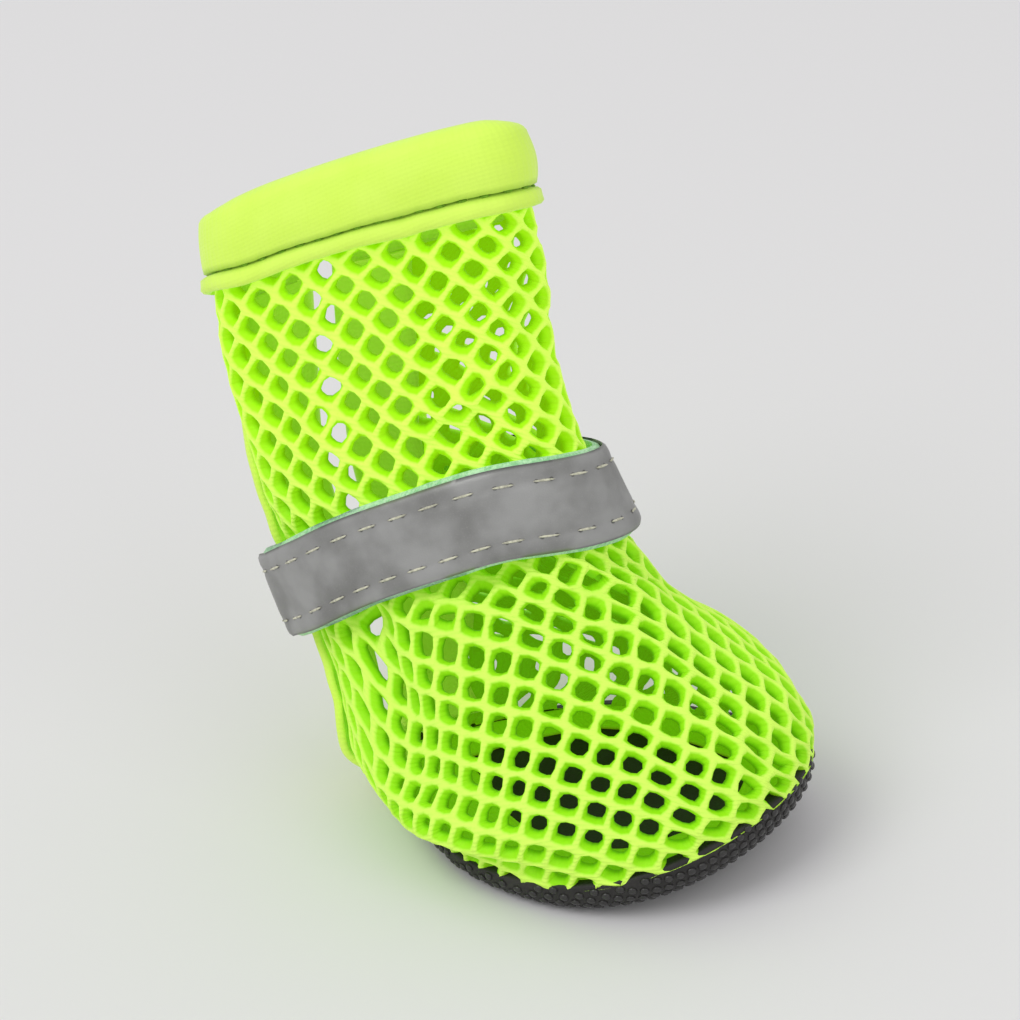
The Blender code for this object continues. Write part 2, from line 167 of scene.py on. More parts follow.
@dataclass(frozen=True)
class Sizes:
    """The boot's named sizes in metres and shares, as its solids have them."""

    sole_length: float = 54 * MM
    ball_width: float = 40 * MM
    sole_thickness: float = 1.6 * MM
    toe_spring: float = 6.2 * MM
    heel_spring: float = 0.8 * MM
    toe_rim: float = 5.0 * MM
    heel_rim: float = 2.0 * MM
    spring_start: float = 0.12
    heel_start: float = 0.72
    flat_share: float = 0.86
    ball_forward: float = 0.14
    heel_point: float = 1.05
    instep_height: float = 40 * MM
    shaft_height: float = 37 * MM
    shaft_width: float = 39 * MM
    shaft_depth: float = 12.5 * MM
    wall: float = 1.5 * MM
    slit_gap: float = 2.2 * MM
    bag_swell: float = 0.07
    bag_lift: float = 3.0 * MM
    bag_point: float = 0.5
    bag_gap: float = 1.5
    bag_slump: float = 2.6 * MM
    slump_along: float = 0.195
    slump_rise: float = 0.065
    slump_reach: float = 0.075
    slump_spread: float = 0.05
    binding_width: float = 9.2 * MM
    binding_thickness: float = 0.8 * MM
    binding_stitch: float = 7.0 * MM
    strap_width: float = 11.0 * MM
    strap_thickness: float = 1.1 * MM
    strap_free_end: float = 3.0 * MM
    tape_width: float = 10.2 * MM
    tape_thickness: float = 0.5 * MM
    clearance: float = 0.38 * MM
    cloth_reach: float = 0.62
    cloth_margin: float = 4 * MM
    cloth_row: float = 0.62
    most_lean: float = 1.2
    thread_rise: float = 0.20
    thread_along: float = 0.38


SIZES = Sizes()


def smooth_step(value: Array) -> Array:
    """0 below 0, 1 above 1 and a smooth rise between."""
    value = np.clip(value, 0, 1)
    return value * value * (3 - 2 * value)


def through(points: Sequence, steps: int) -> Array:
    """A smooth curve through rows of points.

    Args:
        points: Rows to pass through, of any shape.
        steps: How many samples to take.

    Returns:
        The samples, evenly spaced between the rows.
    """
    rows = np.asarray(points, float)
    padded = np.concatenate([2 * rows[:1] - rows[1:2], rows, 2 * rows[-1:] - rows[-2:-1]])
    place = np.linspace(0, len(rows) - 1, steps)
    first = np.minimum(place.astype(int), len(rows) - 2)
    t = (place - first).reshape((-1,) + (1,) * (rows.ndim - 1))
    p0, p1, p2, p3 = (padded[first + k] for k in range(4))
    square = (2 * p0 - 5 * p1 + 4 * p2 - p3) * t**2
    return 0.5 * (2 * p1 + (p2 - p0) * t + square + (3 * p1 - p0 - 3 * p2 + p3) * t**3)


def run_length(points: Array) -> Array:
    """Distance along a polyline at each of its points."""
    return np.concatenate([[0], np.cumsum(np.linalg.norm(np.diff(points, axis=0), axis=1))])


def along_run(points: Array, run: Array, where: Array | float) -> Array:
    """A polyline's places or directions at distances along it."""
    return np.stack([np.interp(where, run, points[:, k]) for k in range(3)], axis=-1)


def unit(vectors: Array) -> Array:
    """The vectors of the last axis at length one."""
    return vectors / np.linalg.norm(vectors, axis=-1, keepdims=True)


def carried(where: Array, line: Array, shares: Array) -> Array:
    """Shares read over a rising line and carried straight on past its two ends."""
    before = np.minimum(where - line[0], 0) / (line[1] - line[0]) * shares[1]
    after = np.maximum(where - line[-1], 0) / (line[-1] - line[-2]) * shares[1]
    return np.interp(where, line, shares) + before + after


def between(table: Array, across: Array, up: Array) -> Array:
    """The table at places counted in its columns and rows, straight between its points."""
    u = np.minimum(across.astype(int), table.shape[1] - 2)
    v = np.minimum(up.astype(int), table.shape[0] - 2)
    s, t = across - u, up - v
    if table.ndim > 2:
        s, t = s[..., None], t[..., None]
    low = table[v, u] * (1 - s) + table[v, u + 1] * s
    high = table[v + 1, u] * (1 - s) + table[v + 1, u + 1] * s
    return low * (1 - t) + high * t


def even(points: Array, count: int) -> Array:
    """The polyline as count points evenly spaced along it."""
    run = run_length(points)
    return along_run(points, run, np.linspace(0, run[-1], count))


def trimmed(points: Array, cut: float) -> Array:
    """The polyline with cut taken off each end."""
    run = run_length(points)
    keep = points[(run > cut) & (run < run[-1] - cut)]
    ends = along_run(points, run, np.array([cut, run[-1] - cut]))
    return np.concatenate([ends[:1], keep, ends[1:]])


def ripple(places: Array, seed: int, scale: float) -> Array:
    """A smooth unevenness between about -1 and 1.

    Args:
        places: Points of any count of axes, as rows.
        seed: Which unevenness.
        scale: Size of its humps, in the places' own unit.

    Returns:
        One value a point.
    """
    chance = np.random.default_rng(seed)
    total = np.zeros(len(places))
    for _ in range(7):
        direction = chance.normal(size=places.shape[1])
        direction = direction / np.linalg.norm(direction)
        wave = scale * chance.uniform(0.7, 1.6)
        total += np.sin(places @ direction * 2 * math.pi / wave + chance.uniform(0, 6.28))
    return total / 3.2


class SoleForm:
    """The grip sheet's outline and its rise off the floor."""

    def __init__(self, sizes: Sizes = SIZES) -> None:
        """Keeps the sizes."""
        self.sizes = sizes

    def outline(self, angle: Array, share: Array | float = 1.0, point: float | None = None):
        """X and Y of the outline at an angle from the toe, or of a line inside or round it."""
        s = self.sizes
        point = s.heel_point if point is None else point
        run = np.cos(angle) + s.ball_forward * np.sin(angle) ** 2
        power = 1 + point * smooth_step(-np.cos(angle))
        side = np.sign(np.sin(angle)) * np.abs(np.sin(angle)) ** power
        return share * s.sole_length / 2 * run, share * s.ball_width / 2 * side

    def spring(self, x: Array) -> Array:
        """Height of the underside above the floor at a distance along the boot."""
        s = self.sizes
        reach = x / (s.sole_length / 2)
        toe = np.clip((reach - s.spring_start) / (1 - s.spring_start), 0, None)
        heel = np.clip((-reach - s.heel_start) / (1 - s.heel_start), 0, None)
        return s.toe_spring * toe**2 + s.heel_spring * heel**2

    def rim(self, angle: Array) -> Array:
        """Height of the turned-up edge."""
        s = self.sizes
        return s.heel_rim + (s.toe_rim - s.heel_rim) * smooth_step((1 + np.cos(angle)) / 2)

    def ring(self, swell: float, lift: float, point: float) -> Array:
        """A line a lift above the turned-up edge, swollen most at the heel it starts from."""
        angle = np.linspace(-math.pi, math.pi, DENSE)
        x, y = self.outline(angle, 1 + swell * (1 - np.cos(angle)) / 2, point)
        return np.stack([x, y, self.spring(x) + self.rim(angle) + lift], axis=1)

    def profile(self, steps: int = 9) -> tuple[Array, Array]:
        """Shares and lifts of the sheet's outer face from near the middle to the edge's top."""
        s = self.sizes
        turned = np.linspace(0, math.pi / 2, steps)
        flat = np.linspace(0.12, 0.84, 7)
        bend = s.flat_share + (1 - s.flat_share) * np.sin(turned)
        rise = 0.75 * (1 - np.cos(turned))
        return np.array([*flat, *bend, 1.0, 1.0]), np.array([*(0 * flat), *rise, 0.88, 1.0])

    def face(self, angle: Array, share: Array, lift: Array) -> Array:
        """Points of the outer face at angles, shares of the outline and shares of the rim."""
        x, y = self.outline(angle, share)
        return np.stack([x, y, self.spring(x) + lift * self.rim(angle)], axis=-1)


class BootSkin:
    """The upper's outer face, with its creases, as a function of place.

    Along runs from the slit's right edge (0) past the front (0.5) to its left edge (1), and rise
    from the sole (0) to the collar (1). A cloth place is the distance round from the front and
    up from the sole, in metres.
    """

    def __init__(self, sole: SoleForm, creased: bool = True, sizes: Sizes = SIZES) -> None:
        """Lofts the sections, adds the creases and measures the face."""
        self.sizes = sizes
        self.grid = self._lofted(sole)
        self.normal = self._normals()
        self._measure()
        if creased:
            self.grid = self.grid + self.normal * self._creased()[..., None]
            self.normal = self._normals()
            self._measure()
        self._laid()

    def _section(self, row: Section) -> Array:
        """Points of one oval section, from straight behind its middle round the right side."""
        s = self.sizes
        foot = row.zone is Zone.FOOT
        height = row.height * (s.instep_height if foot else s.shaft_height)
        base = 0.0 if foot else s.instep_height
        half_length = row.length * (s.sole_length if foot else s.shaft_width) / 2
        half_width = row.width * (s.ball_width if foot else s.shaft_depth) / 2
        angle = np.linspace(-math.pi, math.pi, 3 * DENSE)
        cosine = np.cos(angle)
        round_part = min(half_width, half_length)
        run = (half_length - round_part) * np.tanh(row.square * cosine) / np.tanh(row.square)
        run = run + round_part * cosine
        power = row.tail + (row.nose - row.tail) * (1 + cosine) / 2
        side = half_width * np.sign(np.sin(angle)) * np.abs(np.sin(angle)) ** power
        slope, tip, turn = (math.radians(value) for value in (row.slope, row.tip, row.turn))
        level, cross = run * math.cos(slope), side * math.cos(tip)
        x = level * math.cos(turn) - cross * math.sin(turn)
        y = level * math.sin(turn) + cross * math.cos(turn)
        z = base + height + run * math.sin(slope) - side * math.sin(tip)
        z = z + 2 * half_length * row.arch * (1 - (run / half_length) ** 2)
        bearing = (np.arctan2(y, x) - math.pi + math.radians(row.swing)) % (2 * math.pi)
        order = np.argsort(bearing[:-1])
        ring = np.stack([x + row.setback * s.sole_length, y, z], axis=1)[:-1][order]
        behind = (ring[0] + ring[-1]) / 2
        return np.concatenate([[behind], ring, [behind]])

    def _lofted(self, sole: SoleForm) -> Array:
        """The face as rows that rise evenly from the sole to the collar."""
        s = self.sizes
        edge = s.binding_thickness + s.clearance
        sewn = sole.ring(0, s.clearance, s.heel_point)
        bulge = sole.ring(s.bag_swell, s.bag_lift, s.bag_point)
        rings = [
            trimmed(sewn, s.slit_gap / 2 + edge),
            trimmed(bulge, s.bag_gap * s.slit_gap / 2 + edge),
        ]
        rings += [trimmed(self._section(row), row.gap * s.slit_gap / 2 + edge) for row in SECTIONS]
        surface = through([even(ring, DENSE) for ring in rings], DENSE)
        grid = np.stack([even(surface[:, k], DENSE) for k in range(DENSE)], axis=1)
        along, rise = np.meshgrid(SHARES, SHARES)
        away = ((along - s.slump_along) / s.slump_reach) ** 2
        away = away + ((rise - s.slump_rise) / s.slump_spread) ** 2
        amount = s.bag_slump * np.exp(-away) * smooth_step(rise / s.slump_rise)
        return grid + amount[..., None] * unit(grid * (1, 1, 0))

    def _normals(self) -> Array:
        """Unit normals of the grid, pointing outwards."""
        return unit(np.cross(np.gradient(self.grid, axis=1), np.gradient(self.grid, axis=0)))

    def _measure(self) -> None:
        """Measures the face's lengths and the table from cloth places to shares round it."""
        self.length = np.linalg.norm(np.diff(self.grid, axis=0), axis=2).sum(axis=0)
        around = np.linalg.norm(np.diff(self.grid, axis=1), axis=2)
        self.girth = around.sum(axis=1)
        self.mean_length = float(self.length.mean())
        run = np.concatenate([np.zeros((DENSE, 1)), np.cumsum(around, axis=1)], axis=1)
        self.from_front = run - run[:, DENSE // 2, None]
        self.reach = float(self.girth.max()) * self.sizes.cloth_reach
        self.steps = np.linspace(-self.reach, self.reach, 2 * DENSE)
        self.share_table = np.array([carried(self.steps, row, SHARES) for row in self.from_front])

    def _laid(self) -> None:
        """Lays the cloth out from one row, its threads square to the rows below and above."""
        start = int(round(self.sizes.cloth_row * (DENSE - 1)))
        round_way = np.gradient(self.grid, axis=1) * (DENSE - 1)
        up_way = np.gradient(self.grid, axis=0) * (DENSE - 1)
        count = len(self.steps)
        shares = np.zeros((DENSE, count))
        climbed = np.zeros((DENSE, count))
        shares[start] = self.share_table[start]
        for way in (-1, 1):
            row = start
            while 0 <= row + way < DENSE:
                rise = np.full(count, row / (DENSE - 1))
                level = self.read(round_way, shares[row], rise)
                steep = self.read(up_way, shares[row], rise)
                lean = (level * steep).sum(axis=1) / (level * level).sum(axis=1)
                lean = np.clip(lean, -self.sizes.most_lean, self.sizes.most_lean)
                step = way / (DENSE - 1)
                moved = np.linalg.norm((steep - level * lean[:, None]) * step, axis=1)
                shares[row + way] = shares[row] - lean * step
                climbed[row + way] = climbed[row] + way * moved
                row += way
        self.low = float(climbed[0].min()) - self.sizes.cloth_margin
        self.high = float(climbed[-1].max()) + self.sizes.cloth_margin
        heights = np.linspace(self.low, self.high, 2 * DENSE)
        foot = int(round(self.sizes.thread_rise * (DENSE - 1)))
        thread = shares[:, int(np.argmin(np.abs(shares[foot] - self.sizes.thread_along)))]
        placed, reached = [], []
        for row in range(DENSE):
            begin = np.interp(thread[row], SHARES, self.from_front[row])
            share = np.interp(self.steps + begin, self.steps, self.share_table[row])
            placed.append(share)
            reached.append(np.interp(share, shares[row], climbed[row]))
        lines, shares = np.array(reached).T, np.array(placed).T
        around = [np.interp(heights, line, share) for line, share in zip(lines, shares)]
        self.around_table = np.array(around).T
        self.up_table = np.array([carried(heights, line, SHARES) for line in lines]).T

    def _creased(self) -> Array:
        """How far each point of the grid is moved out by the creases."""
        along, rise = np.meshgrid(SHARES, SHARES)
        place = np.stack([self.from_front, rise * self.mean_length], axis=-1)
        moved = np.zeros_like(along)
        for crease in CREASES:
            ends = np.rint(np.array([crease.start, crease.end]) * (DENSE - 1)).astype(int)
            start, end = place[ends[:, 1], ends[:, 0]]
            reach = end - start
            t = np.clip(((place - start) @ reach) / (reach @ reach), 0, 1)
            away = np.linalg.norm(place - start - t[..., None] * reach, axis=-1)
            fade = 0.35 + 0.65 * np.sin(math.pi * t)
            moved += crease.depth * MM * fade * np.exp(-((away / (crease.width * MM)) ** 2))
        hidden = smooth_step(rise * 12) * smooth_step((1 - rise) * 8)
        slack = ripple(place.reshape(-1, 2) / MM, 11, 17.0).reshape(along.shape)
        return (moved + 0.22 * MM * slack) * hidden

    def read(self, values: Array, along: Array, rise: Array) -> Array:
        """The values at shares of the way round and up, straight between the grid's points."""
        return between(values, *(np.clip(at, 0, 1) * (DENSE - 1) for at in (along, rise)))

    def direction(self, along: Array, rise: Array) -> Array:
        """Unit normals at shares of the way round and up."""
        return unit(self.read(self.normal, np.asarray(along, float), np.asarray(rise, float)))

    def point(self, along: Array, rise: Array, lift: Array | float = 0.0) -> Array:
        """Points lifted off the face, carried straight on past its four edges."""
        along, rise, lift = np.broadcast_arrays(
            np.asarray(along, float), np.asarray(rise, float), np.asarray(lift, float)
        )
        place = self.read(self.grid, along, rise)
        step = 1 / (DENSE - 1)
        inside_u, inside_v = np.clip(along, 0, 1), np.clip(rise, 0, 1)
        inner_u = np.where(along > 1, 1 - step, step)
        inner_v = np.where(rise > 1, 1 - step, step)
        out_u = ((along - inside_u) / np.where(along > 1, step, -step))[..., None]
        out_v = ((rise - inside_v) / np.where(rise > 1, step, -step))[..., None]
        edge = self.read(self.grid, inside_u, inside_v)
        place = place + out_u * (place - self.read(self.grid, inner_u, inside_v))
        place = place + out_v * (edge - self.read(self.grid, inside_u, inner_v))
        return place + lift[..., None] * self.direction(inside_u, inside_v)

    def cloth_share(self, around: Array, up: Array) -> tuple[Array, Array]:
        """Shares round and up of places on the laid-out cloth, in metres from the front."""
        last = 2 * DENSE - 1
        u = np.clip((around + self.reach) / (2 * self.reach) * last, 0, last - 0.001)
        v = np.clip((up - self.low) / (self.high - self.low) * last, 0, last - 0.001)
        return between(self.around_table, u, v), between(self.up_table, u, v)

    def length_at(self, along: Array | float) -> Array:
        """Length of the face from the sole to the collar at a place round it."""
        return np.interp(along, SHARES, self.length)

    def girth_at(self, rise: Array | float) -> Array:
        """Length of the face from one edge of the slit to the other at a height."""
        return np.interp(rise, SHARES, self.girth)

    def rise_at(self, along: float, height: float) -> float:
        """How far up the face stands at a height above the floor."""
        column = self.read(self.grid, np.full(DENSE, along), SHARES)[:, 2]
        return float(np.interp(height, column, SHARES))


def adds_node(kind: str, swapped: bool = False) -> Callable:
    """A method of Val that adds one Math node on the value and another term, if it gets one."""

    def method(value: "Val", *others) -> "Val":
        """The Math node's output."""
        terms = (*others, value) if swapped else (value, *others)
        return value.graph.node("ShaderNodeMath", {"operation": kind}, dict(enumerate(terms)))

    return method


class Val:
    """A shader socket with the operators of a number, each adding a Math node."""

    __add__ = __radd__ = adds_node("ADD")
    __mul__ = __rmul__ = adds_node("MULTIPLY")
    __sub__ = adds_node("SUBTRACT")
    __rsub__ = adds_node("SUBTRACT", swapped=True)
    __truediv__ = adds_node("DIVIDE")
    fraction = adds_node("FRACT")
    magnitude = adds_node("ABSOLUTE")
    sine = adds_node("SINE")
    at_most = adds_node("MINIMUM")
    at_least = adds_node("MAXIMUM")

    def __init__(self, graph: "Graph", socket) -> None:
        """Keeps the graph and the output socket."""
        self.graph = graph
        self.socket = socket

    def clamp(self) -> "Val":
        """The value held between 0 and 1."""
        return self.at_most(1.0).at_least(0.0)

    def ramp(self, low: float, high: float) -> "Val":
        """0 at low, 1 at high and a smooth rise between."""
        settings = {"interpolation_type": "SMOOTHSTEP"}
        values = {"Value": self, "From Min": low, "From Max": high}
        return self.graph.node("ShaderNodeMapRange", settings, values)


class Graph:
    """The node tree of one finish."""

    def __init__(self, name: str) -> None:
        """Makes the material with its Principled shader."""
        self.material = bpy.data.materials.new(name)
        self.material.use_nodes = True
        self.tree = self.material.node_tree
        self.shader = self.tree.nodes["Principled BSDF"]

    def node(self, kind: str, settings: dict | None = None, values: dict | None = None, out=0):
        """Adds a node.

        Args:
            kind: The node's type.
            settings: Its properties, set first.
            values: Its sockets' numbers, colours or links, by name or place.
            out: The output to use.

        Returns:
            The wrapped output socket.
        """
        made = self.tree.nodes.new(kind)
        for name, value in (settings or {}).items():
            setattr(made, name, value)
        for name, value in (values or {}).items():
            self._set(made.inputs[name], value)
        return Val(self, made.outputs[out])

    def _set(self, socket, value) -> None:
        """Links a wrapped socket or sets a plain value."""
        if isinstance(value, Val):
            self.tree.links.new(value.socket, socket)
        else:
            socket.default_value = value

    def mix(self, factor, low, high) -> Val:
        """A colour between two, by a factor."""
        made = self.tree.nodes.new("ShaderNodeMix")
        made.data_type = "RGBA"
        self._set(made.inputs[0], factor)
        self._set(made.inputs[6], low if isinstance(low, Val) else (*low, 1.0))
        self._set(made.inputs[7], high if isinstance(high, Val) else (*high, 1.0))
        return Val(self, made.outputs[2])

    def place(self) -> Val:
        """Object coordinates in metres."""
        return self.node("ShaderNodeTexCoord", out="Object")

    def height(self) -> Val:
        """Height above the floor in millimetres."""
        return self.node("ShaderNodeSeparateXYZ", None, {0: self.place()}, 2) / MM

    def stored(self, name: str, out: str = "Vector") -> Val:
        """What the mesh keeps for each vertex under a name."""
        return self.node("ShaderNodeAttribute", {"attribute_name": name}, out=out)

    def cloth(self) -> tuple[Val, Val, Val]:
        """The stored place on the cloth: its two numbers, in millimetres, and the vector."""
        vector = self.stored("cloth")
        apart = [self.node("ShaderNodeSeparateXYZ", None, {0: vector}, out) for out in (0, 1)]
        return apart[0], apart[1], vector

    def noise(self, vector: Val, scale: float, detail: float = 2.0, rough: float = 0.5) -> Val:
        """Noise from 0 to 1 at a scale in humps a unit."""
        values = {"Vector": vector, "Scale": scale, "Detail": detail, "Roughness": rough}
        return self.node("ShaderNodeTexNoise", None, values)

    def bump(self, height: Val, distance: float, strength: float = 1.0) -> Val:
        """A normal from a height in units of distance."""
        values = {"Height": height, "Distance": distance, "Strength": strength}
        return self.node("ShaderNodeBump", None, values)

    def finish(self, **values) -> bpy.types.Material:
        """Sets the Principled shader's sockets, by names with spaces as underscores."""
        for name, value in values.items():
            socket = self.shader.inputs[name.replace("_", " ")]
            if isinstance(value, tuple) and len(value) == 3:
                value = (*value, 1.0)
            self._set(socket, value)
        return self.material


def linear(red: float, green: float, blue: float) -> tuple[float, float, float]:
    """A colour in the renderer's own units from one on the 0 to 255 scale of a screen."""
    values = (channel / 255 for channel in (red, green, blue))
    return tuple(v / 12.92 if v <= 0.04045 else ((v + 0.055) / 1.055) ** 2.4 for v in values)


@dataclass(frozen=True)
class MeshFinish:
    """Neon air mesh: pale painted highlight on its ridges, deeper green painted shade down their
    sides and in the holes, and a painted glow.
    """

    # The ridge colour is the painted highlight on the crests, the side colour the painted shade
    # down the ridges, the deep colour darker painted shade in the holes.
    ridge: tuple[float, float, float] = linear(214, 252, 104)
    side: tuple[float, float, float] = linear(150, 226, 18)
    deep: tuple[float, float, float] = linear(96, 190, 2)
    # The two emitted colours paint a glow on the net, paler and brighter on the shaft.
    glow: tuple[float, float, float] = linear(138, 190, 14)
    shaft_glow: tuple[float, float, float] = linear(206, 250, 8)

    def made(self) -> bpy.types.Material:
        """The material."""
        g = Graph("neon_mesh")
        around, up, cloth = g.cloth()
        height = g.stored("relief", "Fac")
        soft = g.noise(cloth, 0.22, 2)
        fibre = g.noise(cloth, 3.2, 3, 0.6)
        # Painted highlight on the crests, where the relief is near 1, over painted shade down the
        # sides.
        crest = (height + (soft - 0.5) * 0.08).ramp(0.80, 1.0)
        color = g.mix(crest, self.side, self.ridge)
        # Darker painted shade deep in the holes, where the relief is low.
        color = g.mix((0.62 - height).ramp(0.0, 0.5), color, self.deep)
        color = g.mix((fibre - 0.5).ramp(0.0, 0.35) * 0.25, color, self.side)
        twist = ((around * 5.1 + up * 8.3) + soft * 6).sine()
        relief = g.bump(twist * 0.5 + fibre, 0.08 * MM, 0.7)
        # Painted glow: emission that lifts the shade, brighter up the shaft from 30 to 52 mm high.
        glow = g.mix(g.height().ramp(30, 52), self.glow, self.shaft_glow)
        return g.finish(
            Base_Color=color,
            Roughness=0.62,
            Normal=relief,
            Emission_Color=glow,
            Emission_Strength=0.27,
            Specular_IOR_Level=0.25,
        )


@dataclass(frozen=True)
class BindingFinish:
    """Smooth pale neon tape with a fine rib across it, painted shade in its stitched groove and a
    painted glow.
    """

    face: tuple[float, float, float] = linear(214, 248, 98)
    shade: tuple[float, float, float] = linear(200, 240, 66)
    # The groove colour is painted shade in the stitched groove.
    groove: tuple[float, float, float] = linear(112, 158, 16)

    def made(self) -> bpy.types.Material:
        """The material."""
        g = Graph("neon_binding")
        along, across, cloth = g.cloth()
        sunk = g.stored("relief", "Fac")
        soft = g.noise(cloth, 0.16, 3)
        fine = g.noise(cloth, 5.0, 2)
        color = g.mix(soft.ramp(0.35, 0.72) * 0.35, self.face, self.shade)
        # Painted shade in the stitched groove, where the stored relief is deep.
        color = g.mix(sunk.clamp(), color, self.groove)
        rib = (along * (2 * math.pi / 0.62)).sine()
        weave = (across * (2 * math.pi / 0.5) + along * 1.5).sine()
        relief = g.bump(rib * 0.35 + weave * 0.2 + fine * 0.9, 0.05 * MM, 0.7)
        return g.finish(
            Base_Color=color,
            Roughness=0.6,
            Normal=relief,
            # Painted glow, dimmer in the stitched groove.
            Emission_Color=g.mix(sunk.clamp(), self.shade, self.groove),
            Emission_Strength=0.10,
            Specular_IOR_Level=0.3,
            Sheen_Weight=0.2,
        )


@dataclass(frozen=True)
class GripFinish:
    """Black grip sheet: matt and a little dusty between its bumps."""

    sheet: tuple[float, float, float] = linear(33, 31, 30)
    dust: tuple[float, float, float] = linear(62, 59, 57)

    def made(self) -> bpy.types.Material:
        """The material."""
        g = Graph("black_grip")
        place = g.place()
        soft = g.noise(place, 160, 3)
        grain = g.noise(place, 2600, 3, 0.6)
        color = g.mix((soft * 0.6 + grain * 0.5).ramp(0.45, 0.85) * 0.6, self.sheet, self.dust)
        return g.finish(
            Base_Color=color,
            Roughness=0.45 + grain * 0.3,
            Normal=g.bump(grain, 0.08 * MM, 0.8),
            Specular_IOR_Level=0.45,
        )


@dataclass(frozen=True)
class BumpFinish:
    """The grip sheet's raised dots: smoother, so that each one glints."""

    dot: tuple[float, float, float] = linear(36, 34, 34)

    def made(self) -> bpy.types.Material:
        """The material."""
        g = Graph("grip_dot")
        grain = g.noise(g.place(), 3200, 2)
        return g.finish(
            Base_Color=self.dot,
            Roughness=0.22 + grain * 0.18,
            Normal=g.bump(grain, 0.03 * MM, 0.6),
            Specular_IOR_Level=0.6,
        )


@dataclass(frozen=True)
class WebbingFinish:
    """Soft mint loop webbing with a fuzzy pile, painted shade at the roots of its loops."""

    pile: tuple[float, float, float] = linear(204, 244, 206)
    # The root colour is painted shade deep in the pile.
    root: tuple[float, float, float] = linear(150, 214, 158)

    def made(self) -> bpy.types.Material:
        """The material."""
        g = Graph("mint_webbing")
        cloth = g.stored("cloth")
        loops = g.noise(cloth, 2.6, 4, 0.7)
        soft = g.noise(cloth, 0.3, 2)
        # Darker where the loop bump is low: painted shade in the pile, with random tone from the
        # soft noise.
        color = g.mix((loops + (soft - 0.5) * 0.4).ramp(0.35, 0.7), self.root, self.pile)
        return g.finish(
            Base_Color=color,
            Roughness=0.85,
            Normal=g.bump(loops, 0.25 * MM, 0.9),
            Specular_IOR_Level=0.2,
            Sheen_Weight=0.5,
            Sheen_Roughness=0.4,
        )


@dataclass(frozen=True)
class TapeFinish:
    """Grey reflective cloth with a soft broad gloss: a fine silver face of painted glint speckle
    and painted sheen blotches, darker towards its edges, with painted shade in the needle holes.
    """

    face: tuple[float, float, float] = linear(158, 158, 157)
    # The darker and the bright tones paint a mottled sheen and glint speckle on the reflective
    # face.
    painted_sheen_dark: tuple[float, float, float] = linear(126, 126, 124)
    bright: tuple[float, float, float] = linear(170, 168, 166)
    # A darker tone towards the tape's edges.
    edge_darker: tuple[float, float, float] = linear(104, 106, 100)
    # Painted shade in the needle holes.
    needle_hole_shade: tuple[float, float, float] = linear(52, 52, 50)
    edge_at: float = 4.75
    stitch_at: float = 3.1
    stitch_pitch: float = 3.9
    hole_at: float = 0.31

    def made(self) -> bpy.types.Material:
        """The material."""
        g = Graph("grey_reflective")
        along, across, cloth = g.cloth()
        soft = g.noise(cloth, 0.14, 3)
        fine = g.noise(cloth, 4.5, 3, 0.65)
        # Painted sheen: darker blotches from the soft noise.
        color = g.mix(soft.ramp(0.35, 0.7), self.face, self.painted_sheen_dark)
        # Painted glints: a bright fine speckle.
        color = g.mix((fine - 0.5).ramp(0, 0.3) * 0.3, color, self.bright)
        # Darker towards the tape's edges.
        edge = (across - self.edge_at).ramp(0, 0.3) + (-self.edge_at - across).ramp(0, 0.3)
        color = g.mix(edge.clamp() * 0.6, color, self.edge_darker)
        step = (along / self.stitch_pitch - 0.5).fraction()
        near = ((step - 0.5).magnitude() - self.hole_at).magnitude() * self.stitch_pitch
        off = (across.magnitude() - self.stitch_at).magnitude()
        hole = 1 - (near * near + off * off).ramp(0.02, 0.09)
        # Painted shade in the needle holes along the stitch rows.
        color = g.mix(hole * 0.7, color, self.needle_hole_shade)
        weave = fine + soft * 0.6 - hole * 2
        return g.finish(
            Base_Color=color,
            Roughness=0.38 + fine * 0.16,
            Metallic=0.35,
            Normal=g.bump(weave, 0.035 * MM, 0.7),
            Specular_IOR_Level=0.5,
        )


@dataclass(frozen=True)
class ThreadFinish:
    """Twisted sewing thread."""

    name: str
    color: tuple[float, float, float]

    def made(self) -> bpy.types.Material:
        """The material."""
        g = Graph(self.name)
        grain = g.noise(g.place(), 2400, 2)
        shaded = tuple(channel * 0.62 for channel in self.color)
        return g.finish(
            Base_Color=g.mix(grain.ramp(0.35, 0.7), self.color, shaded),
            Roughness=0.6,
            Normal=g.bump(grain, 0.06 * MM, 0.8),
        )


def new_mesh(name: str, points: Array, faces: Sequence, finish) -> bpy.types.Object:
    """A smooth mesh object with one material, linked to the scene.

    Args:
        name: The piece's name.
        points: Its vertices in metres.
        faces: Its faces as lists or rows of indices.
        finish: Its material.

    Returns:
        The object.
    """
    mesh = bpy.data.meshes.new(name)
    mesh.from_pydata(np.asarray(points, float).tolist(), [], [list(map(int, f)) for f in faces])
    mesh.materials.append(finish)
    mesh.shade_smooth()
    thing = bpy.data.objects.new(name, mesh)
    bpy.context.scene.collection.objects.link(thing)
    return thing


def store(thing: bpy.types.Object, name: str, kind: str, values: Array) -> None:
    """Keeps a number or a vector on each vertex for the finish to read."""
    layer = thing.data.attributes.new(name, kind, "POINT")
    key = "value" if kind == "FLOAT" else "vector"
    layer.data.foreach_set(key, np.ascontiguousarray(values, np.float32).ravel())


def fetched(source, key: str, count: int) -> Array:
    """The vectors that a mesh keeps for its vertices."""
    values = np.empty(count * 3, np.float32)
    source.foreach_get(key, values)
    return values.reshape(-1, 3)


